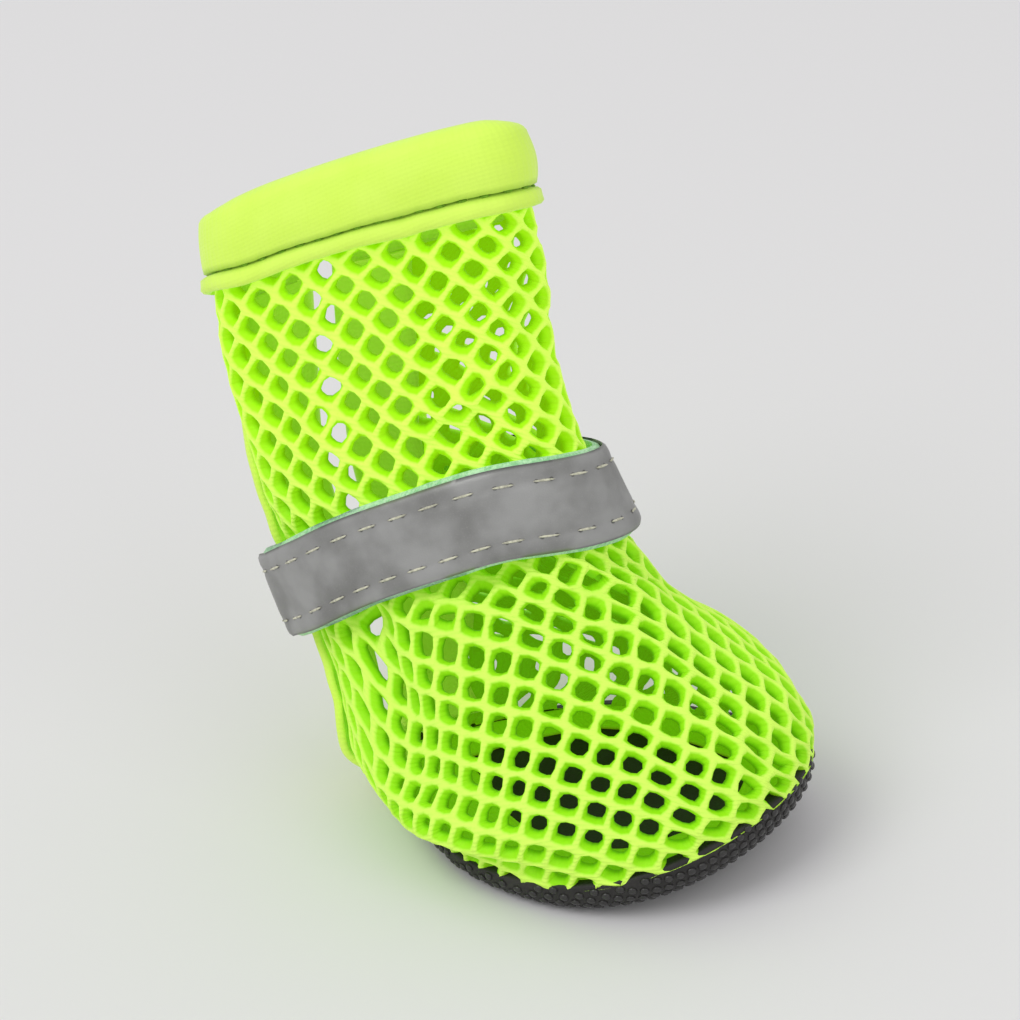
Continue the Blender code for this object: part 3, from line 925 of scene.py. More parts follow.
def grid_faces(rows: int, columns: int, closed: bool = False) -> Array:
    """Quads between rows of points, the last column joined to the first when closed."""
    row, column = np.meshgrid(
        np.arange(rows - 1), np.arange(columns if closed else columns - 1), indexing="ij"
    )
    row, column = row.ravel(), column.ravel()
    after = (column + 1) % columns
    low, high = row * columns, (row + 1) * columns
    return np.stack([low + column, low + after, high + after, high + column], axis=1)


def swept(name: str, rows: Array, finish, cloth: Array, relief: Array | None = None):
    """A closed solid from equal closed profiles with both ends capped.

    Args:
        name: The piece's name.
        rows: Profiles, one after another.
        finish: Its material.
        cloth: The place on the cloth of each point, in mm.
        relief: How deep in a groove each point lies, from 0 to 1.

    Returns:
        The object.
    """
    count, around = rows.shape[:2]
    last = (count - 1) * around
    faces = grid_faces(count, around, closed=True)[:, ::-1].tolist()
    faces.append(list(range(around)))
    faces.append(list(range(last + around - 1, last - 1, -1)))
    thing = new_mesh(name, rows.reshape(-1, 3), faces, finish)
    flat = np.concatenate([cloth, np.zeros((*cloth.shape[:2], 1))], axis=2).reshape(-1, 3)
    store(thing, "cloth", "FLOAT_VECTOR", flat)
    store(thing, "relief", "FLOAT", np.zeros(count * around) if relief is None else relief)
    return thing


class PatternTree:
    """A Geometry Nodes tree built by hand, with named inputs."""

    def __init__(self, name: str) -> None:
        """Makes an empty tree with a geometry output."""
        self.tree = bpy.data.node_groups.new(name, "GeometryNodeTree")
        kind = "NodeSocketGeometry"
        for way in ("INPUT", "OUTPUT"):
            self.tree.interface.new_socket("Geometry", in_out=way, socket_type=kind)
        self.keys: dict[str, str] = {}

    def asks(self, name: str, kind: str) -> None:
        """Adds a named input."""
        made = self.tree.interface.new_socket(name, in_out="INPUT", socket_type=kind)
        self.keys[name] = made.identifier

    def start(self) -> None:
        """Adds the group's own input and output nodes."""
        self.inside = self.tree.nodes.new("NodeGroupInput")
        self.outside = self.tree.nodes.new("NodeGroupOutput")

    def node(self, kind: str, settings: dict | None = None, **links):
        """Adds a node, sets it and links or sets its inputs by name.

        Args:
            kind: The node's type.
            settings: Its properties.
            **links: Sockets or values by input name, with spaces as underscores.

        Returns:
            The node.
        """
        made = self.tree.nodes.new(kind)
        for name, value in (settings or {}).items():
            setattr(made, name, value)
        for name, value in links.items():
            self.link(value, made.inputs[name.replace("_", " ")])
        return made

    def link(self, value, socket) -> None:
        """Links a socket or sets a plain value."""
        if isinstance(value, bpy.types.NodeSocket):
            self.tree.links.new(value, socket)
        else:
            socket.default_value = value

    def math(self, kind: str, first, second):
        """One Math node's output."""
        made = self.tree.nodes.new("ShaderNodeMath")
        made.operation = kind
        self.link(first, made.inputs[0])
        self.link(second, made.inputs[1])
        return made.outputs[0]

    def closes(self, geometry, finish) -> None:
        """Ends the tree: instances made real and the material set."""
        real = self.node("GeometryNodeRealizeInstances", Geometry=geometry)
        weld = self.node("GeometryNodeMergeByDistance", Geometry=real.outputs[0])
        weld.inputs["Distance"].default_value = 0.004 * MM
        dressed = self.node("GeometryNodeSetMaterial", Geometry=weld.outputs[0], Material=finish)
        self.tree.links.new(dressed.outputs[0], self.outside.inputs[0])

    def run(self, host: bpy.types.Object, name: str, **values) -> bpy.types.Object:
        """Runs the tree on an object and returns its result as a plain mesh object.

        Args:
            host: The object that carries the points; it is removed.
            name: The result's name.
            **values: The tree's inputs by name, with spaces as underscores.

        Returns:
            A new object with the evaluated mesh.
        """
        modifier = host.modifiers.new(name, "NODES")
        modifier.node_group = self.tree
        for key, value in values.items():
            modifier[self.keys[key.replace("_", " ")]] = value
        bpy.context.view_layer.update()
        graph = bpy.context.evaluated_depsgraph_get()
        mesh = bpy.data.meshes.new_from_object(host.evaluated_get(graph))
        mesh.name = name
        made = bpy.data.objects.new(name, mesh)
        bpy.context.scene.collection.objects.link(made)
        host.modifiers.remove(modifier)
        bpy.data.objects.remove(host)
        return made


ORIGINAL = {"transform_space": "ORIGINAL"}


def honeycomb_tree(finish) -> PatternTree:
    """The tree that lays one cell out on two interleaved grids with a step each way."""
    t = PatternTree("honeycomb")
    t.asks("Cell", "NodeSocketObject")
    for name in ("Columns", "Rows"):
        t.asks(name, "NodeSocketInt")
    for name in ("Across", "Upward"):
        t.asks(name, "NodeSocketVector")
    t.start()
    outputs = t.inside.outputs
    info = t.node("GeometryNodeObjectInfo", ORIGINAL, Object=outputs["Cell"])
    place = t.node("GeometryNodeInputPosition")
    apart = t.node("ShaderNodeSeparateXYZ", Vector=place.outputs[0])
    joined = t.node("GeometryNodeJoinGeometry")
    for share in (0.0, 0.5):
        plot = t.node("GeometryNodeMeshGrid")
        t.link(t.math("SUBTRACT", outputs["Columns"], 1.0), plot.inputs["Size X"])
        t.link(t.math("SUBTRACT", outputs["Rows"], 1.0), plot.inputs["Size Y"])
        t.link(outputs["Columns"], plot.inputs["Vertices X"])
        t.link(outputs["Rows"], plot.inputs["Vertices Y"])
        steps = []
        for axis, name in ((0, "Across"), (1, "Upward")):
            scaled = t.node("ShaderNodeVectorMath", {"operation": "SCALE"})
            t.link(outputs[name], scaled.inputs[0])
            t.link(t.math("ADD", apart.outputs[axis], share), scaled.inputs["Scale"])
            steps.append(scaled.outputs[0])
        total = t.node("ShaderNodeVectorMath", {"operation": "ADD"})
        t.link(steps[0], total.inputs[0])
        t.link(steps[1], total.inputs[1])
        moved = t.node(
            "GeometryNodeSetPosition", Geometry=plot.outputs[0], Position=total.outputs[0]
        )
        t.tree.links.new(moved.outputs[0], joined.inputs[0])
    laid = t.node(
        "GeometryNodeInstanceOnPoints",
        Points=joined.outputs[0],
        Instance=info.outputs["Geometry"],
    )
    t.closes(laid.outputs[0], finish)
    return t


def scatter_tree(finish) -> PatternTree:
    """The tree that sets one small form on every point, turned to its stored directions."""
    t = PatternTree("scatter")
    t.asks("Form", "NodeSocketObject")
    t.start()
    info = t.node("GeometryNodeObjectInfo", ORIGINAL, Object=t.inside.outputs["Form"])
    out, run = (
        t.node("GeometryNodeInputNamedAttribute", {"data_type": "FLOAT_VECTOR"}, Name=name)
        for name in ("outward", "onward")
    )
    upright = t.node("FunctionNodeAlignRotationToVector", {"axis": "Z"}, Vector=out.outputs[0])
    turned = t.node(
        "FunctionNodeAlignRotationToVector",
        {"axis": "X", "pivot_axis": "Z"},
        Rotation=upright.outputs[0],
        Vector=run.outputs[0],
    )
    laid = t.node(
        "GeometryNodeInstanceOnPoints",
        Points=t.inside.outputs[0],
        Instance=info.outputs["Geometry"],
        Rotation=turned.outputs[0],
    )
    t.closes(laid.outputs[0], finish)
    return t


def scattered(name: str, form: bpy.types.Object, places, outward, onward, finish):
    """Copies of a small form at places on a surface, as one plain mesh.

    Args:
        name: The piece's name.
        form: The form, at the origin with its top along +Z and its length along +X. It is removed.
        places: Where each copy stands.
        outward: Which way the surface faces there.
        onward: Which way its length runs.
        finish: Its material.

    Returns:
        The object.
    """
    host = new_mesh(name + "_places", np.array(places), [], finish)
    store(host, "outward", "FLOAT_VECTOR", np.array(outward))
    store(host, "onward", "FLOAT_VECTOR", np.array(onward))
    made = scatter_tree(finish).run(host, name, Form=form)
    bpy.data.objects.remove(form)
    made.data.shade_smooth()
    return made


def dome(name: str, size: tuple[float, float, float], finish, around: int = 8, up: int = 3):
    """A small closed hump, rounded over its top and sunk a little below its base."""
    length, width, height = size
    tilt = np.linspace(-0.35, math.pi / 2, up + 1)[:-1]
    turn = np.linspace(0, 2 * math.pi, around, endpoint=False)
    rows = [
        np.stack(
            [
                length / 2 * math.cos(a) * np.cos(turn),
                width / 2 * math.cos(a) * np.sin(turn),
                np.full(around, height * math.sin(a)),
            ],
            axis=1,
        )
        for a in tilt
    ]
    points = np.concatenate([*rows, [(0, 0, height)]])
    faces = grid_faces(up, around, closed=True).tolist()
    top = len(points) - 1
    base = (up - 1) * around
    faces += [[base + k, base + (k + 1) % around, top] for k in range(around)]
    faces.append(list(range(around - 1, -1, -1)))
    return new_mesh(name, points, faces, finish)


@dataclass
class MeshUpper:
    """The foot bag and the shaft as one open net, its cells in slanting rows.

    Across and diagonal are the steps from one hole to the next round the boot and up it to the
    left. The third neighbour lies at their sum.
    """

    skin: BootSkin
    across: tuple[float, float] = (4.35 * MM, 0.36 * MM)
    diagonal: tuple[float, float] = (-1.60 * MM, 2.33 * MM)
    hole: float = 1.18 * MM
    ridge: float = 0.42 * MM
    depth: float = 1.75 * MM
    crest: float = 0.10 * MM
    turn: float = 0.44
    turn_start: float = 8 * MM
    turn_blend: float = 9 * MM
    far_start: float = 20 * MM
    far_blend: float = 25 * MM
    far_close: float = 0.34 * MM
    foot_top: float = 2 * MM
    foot_blend: float = 28 * MM
    lowest: float = 0.9 * MM
    slack: tuple[tuple[float, float], ...] = ((0.15, 9.0), (0.05, 1.9))
    finish: MeshFinish = field(default_factory=MeshFinish)

    def border(self) -> Array:
        """The twelve corners and edge middles of the room nearest one hole."""
        c, a = np.array(self.across), np.array(self.diagonal)
        around = [c, c + a, a, -c, -c - a, -a]
        points = []
        for near, far in zip(around, around[1:] + around[:1]):
            corner = np.linalg.solve(2 * np.array([near, far]), [near @ near, far @ far])
            points += [near / 2, corner]
        return np.array(points)

    def cell(self, finish) -> bpy.types.Object:
        """One cell: half of each ridge round a hole, from its crest down to its back."""
        edge = self.border()
        reach = np.linalg.norm(edge, axis=1)
        hole = np.minimum(reach - self.ridge, self.hole)
        room = reach - hole
        inward = edge / reach[:, None]
        steps = (
            (np.zeros(12), 0.0),
            (reach - np.minimum(reach - 0.14 * MM, 1.78 * MM), 0.03),
            (reach - np.minimum(reach - 0.28 * MM, 1.56 * MM), 0.14),
            (reach - np.minimum(reach - 0.36 * MM, 1.36 * MM), 0.34),
            (room, 0.58),
            (room * 1.02, 0.93),
            (0.45 * room, 1.0),
            (np.zeros(12), 1.0),
        )
        rows = []
        for distance, share in steps:
            flat = edge - inward * distance[:, None]
            rows.append(np.column_stack([flat, np.full(12, -share * self.depth)]))
        faces = grid_faces(len(rows), 12, closed=True)
        made = new_mesh("mesh_cell", np.concatenate(rows), faces, finish)
        pulls = [min(share * 2, 1.0) if 0.1 < share < 1 else 0.0 for _, share in steps]
        inner = [np.column_stack([-inward * pull, np.zeros(12)]) for pull in pulls]
        store(made, "inward", "FLOAT_VECTOR", np.concatenate(inner))
        return made

    def build(self) -> bpy.types.Object:
        """Lays the cells out flat and lays the cloth over the boot."""
        skin = self.skin
        finish = self.finish.made()
        cell = self.cell(finish)
        host = new_mesh("mesh_host", [(0, 0, 0)], [], finish)
        c, a = np.array(self.across), np.array(self.diagonal)
        upward = c + 2 * a
        span = skin.high - skin.low + 30 * MM
        width = 2 * skin.reach + span * abs(upward[0] / upward[1]) + 24 * MM
        net = honeycomb_tree(finish).run(
            host,
            "mesh_upper",
            Cell=cell,
            Columns=int(width / c[0]) + 4,
            Rows=int(span / upward[1]) + 2,
            Across=(*self.across, 0.0),
            Upward=(float(upward[0]), float(upward[1]), 0.0),
        )
        bpy.data.objects.remove(cell)
        mesh = net.data
        count = len(mesh.vertices)
        flat = fetched(mesh.vertices, "co", count).astype(float)
        inward = fetched(mesh.attributes["inward"].data, "vector", count)
        middle = (skin.high + skin.low) / 2 + 12 * MM
        around, up, lift = flat[:, 0], flat[:, 1] + middle, flat[:, 2]
        cloth = np.stack([around, up], axis=1) / MM
        close = self.far_close * smooth_step((np.abs(around) - self.far_start) / self.far_blend)
        around, up = around + close * inward[:, 0], up + close * inward[:, 1]
        around, up = self.turned(around, up)
        relief = 1 + lift / self.depth
        for seed, (amount, scale) in zip((3, 5), self.slack):
            around = around + amount * MM * ripple(cloth, seed, scale)
            up = up + amount * MM * ripple(cloth, seed + 1, scale)
        lift = lift + self.crest + 0.06 * MM * ripple(cloth, 8, 2.6)
        along, rise = skin.cloth_share(around, up)
        low = -self.lowest / skin.mean_length
        outside = rise < low - 3.0 * MM / skin.mean_length
        outside |= rise > 1 - 2.4 * MM / skin.mean_length
        edge = 1.2 * MM / skin.girth_at(rise)
        outside |= (along < edge) | (along > 1 - edge)
        inset = -0.10 * MM * smooth_step(1 - rise * skin.mean_length / (1.2 * MM))
        places = skin.point(along, np.clip(rise, low, 1), lift - inset)
        mesh.vertices.foreach_set("co", places.astype(np.float32).ravel())
        store(net, "cloth", "FLOAT_VECTOR", np.column_stack([cloth, np.zeros(count)]))
        # The relief, 1 on the crests and 0 at the back, sets the finish's painted highlight and
        # shade.
        store(net, "relief", "FLOAT", relief)
        self._drop(net, outside)
        net.data.shade_smooth()
        return net

    def turned(self, around: Array, up: Array) -> tuple[Array, Array]:
        """Places of the flat net on the laid-out cloth, which turns and arches over the foot."""
        below = np.maximum(self.turn_start - up, 0)
        around = around + self.turn * (below - self.turn_blend * np.tanh(below / self.turn_blend))
        foot = smooth_step((self.foot_top - up) / self.foot_blend)
        u = around / MM
        shaft_arch = -4.2 * np.log(np.cosh((u + 6) / 14))
        foot_arch = -2.8 * np.log(np.cosh((u - 5) / 7))
        return around, up + ((1 - foot) * shaft_arch + foot * foot_arch) * MM

    def turned_in(self, form: SoleForm) -> bpy.types.Object:
        """The cloth's lower edge, turned in flat over the sole where the two are sewn."""
        s = self.skin.sizes
        angle = np.linspace(-math.pi + 0.14, math.pi - 0.14, 150)
        floor = s.sole_thickness + 0.45 * MM
        rows, cloth = [], []
        for a in angle:
            reach = 0.62 + 0.14 * math.sin(a)
            shares = np.array([0.935, 0.92, 0.895, 0.86, 0.82, *np.linspace(0.79, reach, 7)])
            x, y = form.outline(np.full(len(shares), a), shares)
            turned = np.clip((shares - 0.80) / 0.135, 0, 1) ** 1.5
            z = form.spring(x) + floor + turned * (form.rim(np.array(a)) - floor + 0.2 * MM)
            place = np.stack([x, y], axis=1) / MM
            z = z + 0.12 * MM * ripple(place, 61, 5.0)
            top = np.stack([x, y, z], axis=1)
            under = top - [0, 0, 0.4 * MM]
            rows.append(np.concatenate([top, under[::-1]]))
            cloth.append(np.concatenate([place, place[::-1]]))
        rows = np.array(rows)[:, ::-1]
        # A relief of 0.45 gives this cloth the painted shade of the ridges' sides, a little mixed
        # with the holes' darker painted shade.
        relief = np.full(rows.shape[0] * rows.shape[1], 0.45)
        cloth = np.array(cloth)[:, ::-1]
        return swept("mesh_turned_in", rows, self.finish.made(), cloth, relief)

    @staticmethod
    def _drop(net: bpy.types.Object, outside: Array) -> None:
        """Removes the faces with any corner outside the cloth, and their loose points."""
        work = bmesh.new()
        work.from_mesh(net.data)
        work.verts.ensure_lookup_table()
        gone = [work.verts[k] for k in np.nonzero(outside)[0]]
        bmesh.ops.delete(work, geom=gone, context="VERTS")
        loose = [vert for vert in work.verts if not vert.link_faces]
        bmesh.ops.delete(work, geom=loose, context="VERTS")
        work.to_mesh(net.data)
        work.free()


@dataclass
class FoldedBinding:
    """Tape folded over an edge of the cloth, with a stitched groove and a hem lip below it."""

    skin: BootSkin
    finish: bpy.types.Material
    thread: bpy.types.Material
    stitch_pitch: float = 2.3 * MM

    def profile(self, lip: float) -> tuple[Array, Array, Array]:
        """Distance in from the edge, lift off the face and groove depth round the fold.

        Args:
            lip: How far the hem stands off the cloth.

        Returns:
            Three arrays in metres, metres and shares.
        """
        s = self.skin.sizes
        near, far = s.clearance, s.clearance + s.binding_thickness
        inside = -s.wall - s.clearance
        lining = inside - s.binding_thickness * 0.8
        middle = -s.wall / 2
        w, stitch = s.binding_width, s.binding_stitch
        outer = [(w + 0.05 * MM, near + 0.1 * MM, 0), (w, far * 0.7 + lip, 0)]
        outer += [(w - 0.35 * MM, far + lip, 0), (stitch + 0.55 * MM, far + lip, 0)]
        outer += [(stitch + 0.22 * MM, far + 0.02 * MM, 0.25), (stitch, near + 0.15 * MM, 1)]
        outer += [(stitch - 0.28 * MM, far + 0.02 * MM, 0.35)]
        for at in np.linspace(stitch - 1.1 * MM, 0.9 * MM, 8):
            swell = math.sin(math.pi * (stitch - at) / stitch)
            outer.append((at, far + 0.42 * MM * swell, 0))
        turn = np.linspace(0, math.pi, 9)[1:-1]
        depth = (far - lining) / 2
        outer.append((0.25 * MM, far + 0.05 * MM, 0))
        for a in turn:
            outer.append((0.2 * MM - depth * 0.62 * math.sin(a), middle + depth * math.cos(a), 0))
        outer += [(0.3 * MM, lining, 0)]
        outer += [(at, lining, 0) for at in np.linspace(1.5 * MM, w, 5)]
        inner = [(w, inside, 0), (w * 0.5, inside, 0), (0.4 * MM, inside, 0), (0.1 * MM, middle, 0)]
        inner += [(0.4 * MM, near, 0), (w * 0.5, near, 0), (w - 0.3 * MM, near, 0)]
        table = np.array(outer + inner)
        return table[:, 0], table[:, 1], table[:, 2]

    def pucker(self, run: float, groove: Array) -> Array:
        """How far the tape is drawn in between and at the stitches at a distance along it."""
        return groove * (0.5 + 0.5 * math.cos(2 * math.pi * run / self.stitch_pitch))

    def collar(self) -> list[bpy.types.Object]:
        """The tape round the collar and its stitches."""
        skin = self.skin
        along = np.linspace(0, 1, 330)
        edge = skin.point(along, np.ones_like(along))
        run = run_length(edge)
        distance, lift, groove = self.profile(0.35 * MM)
        rows, cloth, relief = [], [], []
        for k, at in enumerate(along):
            place = np.stack([np.full(len(distance), run[k]), distance], axis=1) / MM
            uneven = 0.10 * MM * ripple(place, 21, 8.0) * (lift > 0)
            hem = distance > skin.sizes.binding_stitch
            uneven = uneven + hem * 0.10 * MM * ripple(place, 22, 3.0)
            draw = self.pucker(run[k], groove) * 0.22 * MM
            drift = 0.14 * MM * ripple(place, 23, 12.0) * (distance > 1 * MM)
            rise = 1 - (distance + drift) / skin.length_at(at)
            rows.append(skin.point(at, rise, lift + uneven - draw))
            cloth.append(place)
            # The groove share, stored as relief, also paints shade into the groove.
            relief.append(groove)
        tape = swept("collar_tape", np.array(rows), self.finish, np.array(cloth), np.ravel(relief))
        spots = np.arange(self.stitch_pitch, run[-1] - 1 * MM, self.stitch_pitch)
        share = np.interp(spots, run, along)
        rise = 1 - skin.sizes.binding_stitch / skin.length_at(share)
        return [tape, self.stitches("collar_stitches", share, rise)]

    def edge(self, side: Side) -> list[bpy.types.Object]:
        """The tape on one edge of the slit and its stitches."""
        skin, s = self.skin, self.skin.sizes
        right = side is Side.RIGHT
        top = 1 - (s.binding_width + 2 * s.clearance) / skin.length_at(0.0 if right else 1.0)
        rises = np.linspace(0.004, top + 0.012, 190)
        edge = skin.point(np.full_like(rises, 0.0 if right else 1.0), rises)
        run = run_length(edge)
        distance, lift, groove = self.profile(0.2 * MM)
        rows, cloth, relief = [], [], []
        for k, at in enumerate(rises):
            place = np.stack([np.full(len(distance), run[k]), distance], axis=1) / MM
            uneven = 0.12 * MM * ripple(place, 31, 6.0) * (lift > 0)
            draw = self.pucker(run[k], groove) * 0.2 * MM
            share = distance / skin.girth_at(at)
            rows.append(skin.point(share if right else 1 - share, at, lift + uneven - draw))
            cloth.append(place)
            # The groove share, stored as relief, also paints shade into the groove.
            relief.append(groove)
        if not right:
            rows, cloth = rows[::-1], cloth[::-1]
        name = f"slit_tape_{side.value}"
        tape = swept(name, np.array(rows), self.finish, np.array(cloth), np.ravel(relief))
        spots = np.arange(self.stitch_pitch, run[-1], self.stitch_pitch)
        at = np.interp(spots, run, rises)
        share = s.binding_stitch / skin.girth_at(at)
        sewn = self.stitches(f"slit_stitches_{side.value}", share if right else 1 - share, at)
        return [tape, sewn]

    def stitches(self, name: str, along: Array, rise: Array) -> bpy.types.Object:
        """A row of stitches at shares round and up."""
        skin = self.skin
        places = skin.point(along, rise, skin.sizes.clearance + 0.28 * MM)
        onward = unit(np.gradient(places, axis=0))
        size = (self.stitch_pitch * 0.6, 0.34 * MM, 0.30 * MM)
        form = dome("stitch", size, self.thread, 6, 2)
        outward = skin.direction(np.clip(along, 0, 1), np.clip(rise, 0, 1))
        return scattered(name, form, places, outward, onward, self.thread)


@dataclass
class AnkleStrap:
    """Mint loop webbing with the grey tape sewn on it by two rows of cream stitches."""

    skin: BootSkin
    steps: int = 150
    smoothing: int = 7
    stitch_inset: float = 2.0 * MM
    stitch_pitch: float = 3.9 * MM

    def route(self) -> tuple[Array, Array, Array, Array]:
        """Middle line, across and outward directions, and the distance run, from the free end."""
        skin, s = self.skin, self.skin.sizes
        table = [(p.along, p.height, p.lift) for p in STRAP_ROUTE]
        middle, across, outward = [], [], []
        for along, height, lift in through(table, self.steps):
            rise = skin.rise_at(along, height * s.instep_height)
            share = 0.5 * s.strap_width / skin.length_at(along)
            stand = s.clearance + lift * s.strap_thickness
            low, high = skin.point(np.full(2, along), np.array([rise - share, rise + share]), stand)
            middle.append((low + high) / 2)
            across.append(unit(high - low))
            outward.append(skin.direction(np.array(along), np.array(rise)))
        middle, across, outward = np.array(middle), np.array(across), np.array(outward)
        back = unit(middle[0] - middle[3])
        extra = np.linspace(1, 0, 10, endpoint=False)[:, None] * s.strap_free_end
        middle = np.concatenate([middle[0] + extra * back, middle])
        across, outward = (
            np.concatenate([line[:1].repeat(10, 0), line]) for line in (across, outward)
        )
        kernel = np.ones(2 * self.smoothing + 1) / (2 * self.smoothing + 1)
        for line in (middle, across, outward):
            for axis in range(3):
                padded = np.pad(line[:, axis], self.smoothing, mode="reflect", reflect_type="odd")
                line[:, axis] = np.convolve(padded, kernel, mode="valid")
        onward = unit(np.gradient(middle, axis=0))
        across = unit(across - (across * onward).sum(axis=1, keepdims=True) * onward)
        facing = np.cross(across, onward)
        facing = facing * np.sign((facing * outward).sum(axis=1, keepdims=True))
        return middle, across, facing, run_length(middle)

    def layer(
        self, name: str, width: float, base: float, thick: float, finish, seed: int, dent=False
    ) -> bpy.types.Object:
        """One flat layer of the strap with rounded edges.

        Args:
            name: The piece's name.
            width: Its width.
            base: How far its back lies off the middle line.
            thick: Its thickness.
            finish: Its material.
            seed: Which unevenness its edges have.
            dent: Whether the stitch rows draw it in.

        Returns:
            The object.
        """
        middle, across, facing, run = self.route()
        share = np.linspace(-0.5, 0.5, 25)
        rows, cloth = [], []
        for k in range(len(middle)):
            place = np.stack([np.full(25, run[k]), share * width], axis=1) / MM
            edge = 1 + 0.008 * ripple(place[:1] * [1, 0], seed, 6.0)[0]
            side = share * width * edge
            crown = np.sqrt(np.clip(1 - np.abs(share * 2) ** 10, 0, 1))
            wave = 0.06 * MM * ripple(place, seed + 1, 9.0)
            top = base + thick * (0.25 + 0.75 * crown) + wave
            if dent:
                away = np.abs(np.abs(side) - (width / 2 - self.stitch_inset)) / (0.45 * MM)
                pull = 0.55 + 0.45 * math.cos(2 * math.pi * run[k] / self.stitch_pitch)
                top = top - 0.2 * MM * pull * np.exp(-(away**2))
            bottom = base + thick * 0.25 * (1 - crown) + wave * 0.8
            upper = middle[k] + across[k] * side[:, None] + facing[k] * top[:, None]
            lower = middle[k] + across[k] * side[:, None] + facing[k] * bottom[:, None]
            rows.append(np.concatenate([upper, lower[::-1]]))
            cloth.append(np.concatenate([place, place[::-1]]))
        rows = np.array(rows)
        if np.cross(across[0], facing[0]) @ (middle[1] - middle[0]) > 0:
            rows, cloth = rows[:, ::-1], [part[::-1] for part in cloth]
        return swept(name, rows, finish, np.array(cloth))

    def build(self) -> list[tuple[bpy.types.Object, str, str]]:
        """The webbing, the tape and their stitches, each with its node and slot."""
        s = self.skin.sizes
        pile = WebbingFinish().made()
        webbing = self.layer("loop_webbing", s.strap_width, 0, s.strap_thickness, pile, 41)
        base = s.strap_thickness + 0.1 * MM
        grey = TapeFinish().made()
        tape = self.layer("silver_tape", s.tape_width, base, s.tape_thickness, grey, 51, True)
        cream = ThreadFinish("cream_thread", linear(214, 212, 190)).made()
        middle, across, facing, run = self.route()
        spots = np.arange(self.stitch_pitch / 2, run[-1] - 1 * MM, self.stitch_pitch)
        line, side_way, out = (along_run(values, run, spots) for values in (middle, across, facing))
        inset = s.tape_width / 2 - self.stitch_inset
        top = base + s.tape_thickness - 0.06 * MM
        places = np.concatenate([line + side_way * side * inset + out * top for side in (-1, 1)])
        ahead, behind = (along_run(middle, run, spots + step * MM) for step in (0.5, -0.5))
        outward, onward = np.tile(out, (2, 1)), np.tile(ahead - behind, (2, 1))
        form = dome("strap_stitch", (self.stitch_pitch * 0.7, 0.30 * MM, 0.20 * MM), cream)
        sewn = scattered("strap_stitches", form, places, outward, onward, cream)
        return [
            (webbing, "strap_webbing", "webbing"),
            (tape, "reflective_tape", "reflective"),
            (sewn, "", "reflective"),
        ]


@dataclass
class GripSole:
    """The black sheet under the foot, its edge turned up, with staggered raised dots."""

    form: SoleForm
    dot_run: float = 2.1 * MM
    dot_row: float = 0.95 * MM
    dot_size: tuple[float, float, float] = (1.15 * MM, 1.0 * MM, 0.28 * MM)
    around: int = 200

    def sheet(self, finish) -> bpy.types.Object:
        """The sheet with its thickness."""
        angle = np.linspace(-math.pi, math.pi, self.around, endpoint=False)
        shares, lifts = self.form.profile()
        points = [np.zeros((1, 3))]
        points += [self.form.face(angle, share, lift) for share, lift in zip(shares, lifts)]
        faces = [[0, 1 + (k + 1) % self.around, 1 + k] for k in range(self.around)]
        faces += (1 + grid_faces(len(shares), self.around, closed=True)).tolist()
        thing = new_mesh("grip_sheet", np.concatenate(points), faces, finish)
        wall = thing.modifiers.new("wall", "SOLIDIFY")
        wall.thickness = self.form.sizes.sole_thickness
        wall.offset = -1
        wall.use_even_offset = True
        return thing

    def dots(self, finish) -> bpy.types.Object:
        """The raised dots over the underside and the turned-up edge."""
        reach = self.form.sizes.sole_length * 0.72
        columns = np.arange(-reach, reach, self.dot_run)
        rows = np.arange(-reach, reach, self.dot_row)
        x, y = np.meshgrid(columns, rows)
        x = x + np.where(np.arange(len(rows))[:, None] % 2 == 0, 0, self.dot_run / 2)
        flat = np.stack([x.ravel(), y.ravel()], axis=1)
        fine = np.linspace(-math.pi, math.pi, 1441)
        rim_x, rim_y = self.form.outline(fine)
        bearing = np.unwrap(np.arctan2(rim_y, rim_x))
        order = np.argsort(bearing)
        angle = np.interp(np.arctan2(flat[:, 1], flat[:, 0]), bearing[order], fine[order])
        shares, lifts = self.form.profile()
        shares, lifts = np.concatenate([[0], shares]), np.concatenate([[0], lifts])
        places, outward = [], []
        for (px, py), a in zip(flat, angle):
            line = self.form.face(np.full(len(shares), a), shares, lifts)
            line[0] = (0, 0, 0)
            run = run_length(line)
            far = math.hypot(px, py)
            if far > run[-1] - 0.5 * MM:
                continue
            here, ahead = along_run(line, run, np.array([far, far + 0.2 * MM]))
            tangent = np.array([-math.sin(a), math.cos(a), 0.0])
            normal = np.cross(tangent, ahead - here)
            normal = normal / (np.linalg.norm(normal) + 1e-12)
            if normal @ (here - np.array([0, 0, 12 * MM])) < 0 and far > 1 * MM:
                normal = -normal
            if far <= run[-1] * 0.8:
                steep = abs(normal[2]) <= 0.9
                normal = normal * -np.sign(normal[2]) if steep else np.array([0, 0, -1.0])
            places.append(here + normal * 0.02 * MM)
            outward.append(normal)
        onward = np.tile([1.0, 0.0, 0.0], (len(places), 1))
        form = dome("dot", self.dot_size, finish)
        return scattered("grip_dots", form, places, outward, onward, finish)


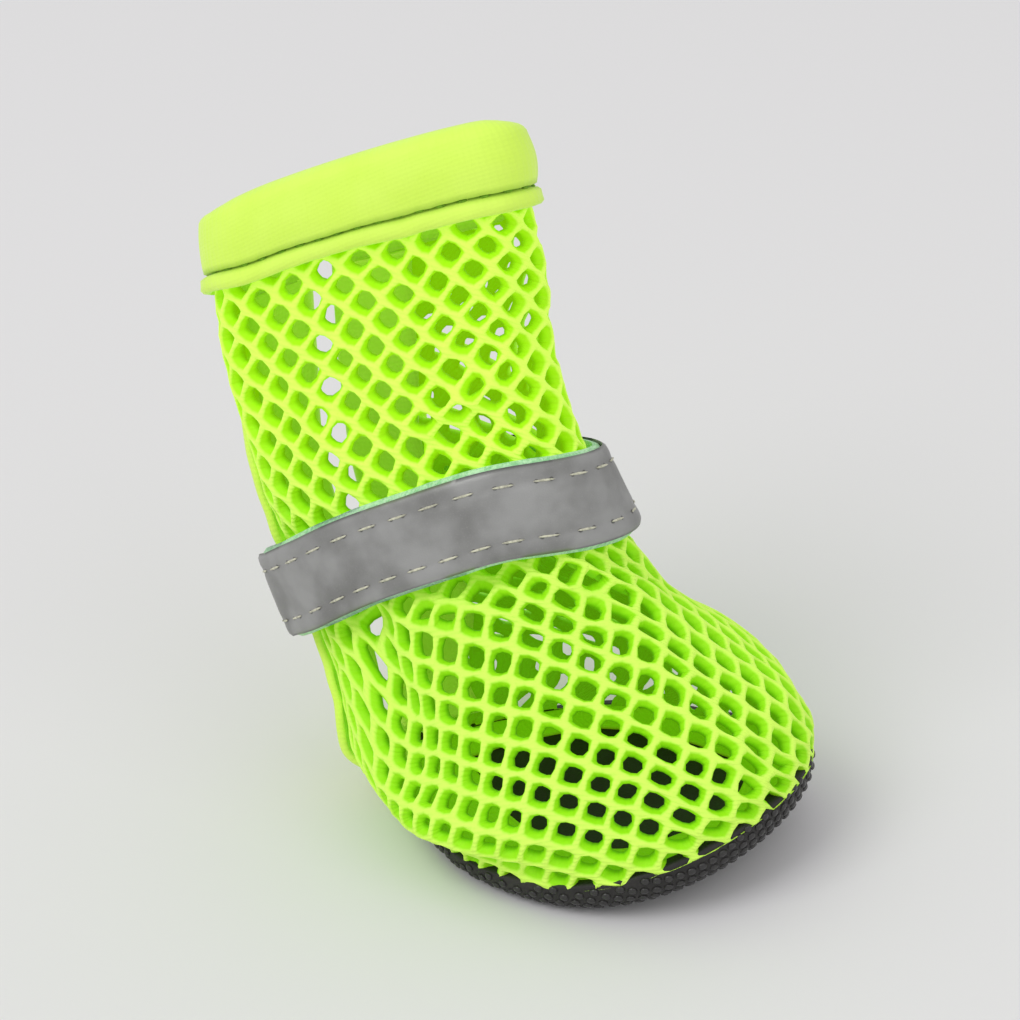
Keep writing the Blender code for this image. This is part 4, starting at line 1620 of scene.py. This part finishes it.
@dataclass
class Studio:
    """Pale floor, soft light and the photograph's camera."""

    roll: float = 4.0
    eye: tuple[float, float, float] = (0.19288, -0.31975, 0.25465)
    target: tuple[float, float, float] = (-0.0080, 0.0, 0.0385)
    lens: float = 136.0

    def floor(self) -> bpy.types.Object:
        """The floor just under the sole."""
        g = Graph("pale_floor")
        finish = g.finish(Base_Color=linear(229, 228, 229), Roughness=0.9)
        size, low = 3.0, -0.35 * MM
        corners = [(-size, -size, low), (size, -size, low), (size, size, low), (-size, size, low)]
        thing = new_mesh("studio_floor", corners, [(0, 1, 2, 3)], finish)
        return thing

    def lights(self) -> None:
        """A bright pale surround and two large soft lights."""
        world = bpy.data.worlds.new("studio")
        world.use_nodes = True
        world.node_tree.nodes["Background"].inputs["Color"].default_value = (1, 1, 1, 1)
        world.node_tree.nodes["Background"].inputs["Strength"].default_value = 0.70
        bpy.context.scene.world = world
        for name, place, power, size in (
            ("key", (-0.35, -0.95, 1.25), 7.6, 0.9),
            ("fill", (1.05, -0.35, 0.9), 2.0, 0.9),
        ):
            lamp = bpy.data.lights.new(name, "AREA")
            lamp.energy = power
            lamp.size = size
            thing = bpy.data.objects.new(name, lamp)
            thing.location = place
            aim = Vector((0, 0, 0.04)) - Vector(place)
            thing.rotation_euler = aim.to_track_quat("-Z", "Y").to_euler()
            bpy.context.scene.collection.objects.link(thing)

    def camera(self) -> None:
        """The camera at the photograph's angle to the boot, rolled with it."""
        lens = bpy.data.cameras.new("camera")
        lens.lens = self.lens
        lens.sensor_width = 36
        thing = bpy.data.objects.new("camera", lens)
        thing.location = self.eye
        turn = (Vector(self.target) - Vector(self.eye)).to_track_quat("-Z", "Y").to_matrix()
        spin = Matrix.Rotation(math.radians(-self.roll), 3, "Z")
        thing.rotation_euler = (turn @ spin).to_euler()
        bpy.context.scene.collection.objects.link(thing)
        bpy.context.scene.camera = thing


def settle(thing: bpy.types.Object, node: str = "") -> None:
    """Puts a piece on the boot's body and lets it stand for its node."""
    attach(thing, "root")
    if node:
        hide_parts(node)
    triangles = sum(len(p.vertices) - 2 for p in thing.data.polygons)
    log.info("%s: %d triangles", thing.name, triangles)


def main() -> None:
    """Builds the boot's looks in order."""
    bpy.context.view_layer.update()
    bpy.context.scene.view_settings.view_transform = "Standard"
    form = SoleForm()
    skin = BootSkin(form)
    upper = MeshUpper(skin)
    settle(upper.build(), "upper")
    settle(upper.turned_in(form))
    tape = BindingFinish().made()
    thread = ThreadFinish("neon_thread", linear(122, 176, 26)).made()
    binding = FoldedBinding(skin, tape, thread)
    for made, node in (
        (binding.collar(), "collar_binding"),
        (binding.edge(Side.RIGHT), "slit_binding_right"),
        (binding.edge(Side.LEFT), "slit_binding_left"),
    ):
        settle(made[0], node)
        settle(made[1])
    for thing, node, slot in AnkleStrap(BootSkin(form, creased=False)).build():
        settle(thing, node)
    sole = GripSole(form)
    settle(sole.sheet(GripFinish().made()), "sole")
    settle(sole.dots(BumpFinish().made()))
    studio = Studio()
    studio.floor()
    studio.lights()
    studio.camera()


if __name__ == "__main__":
    main()
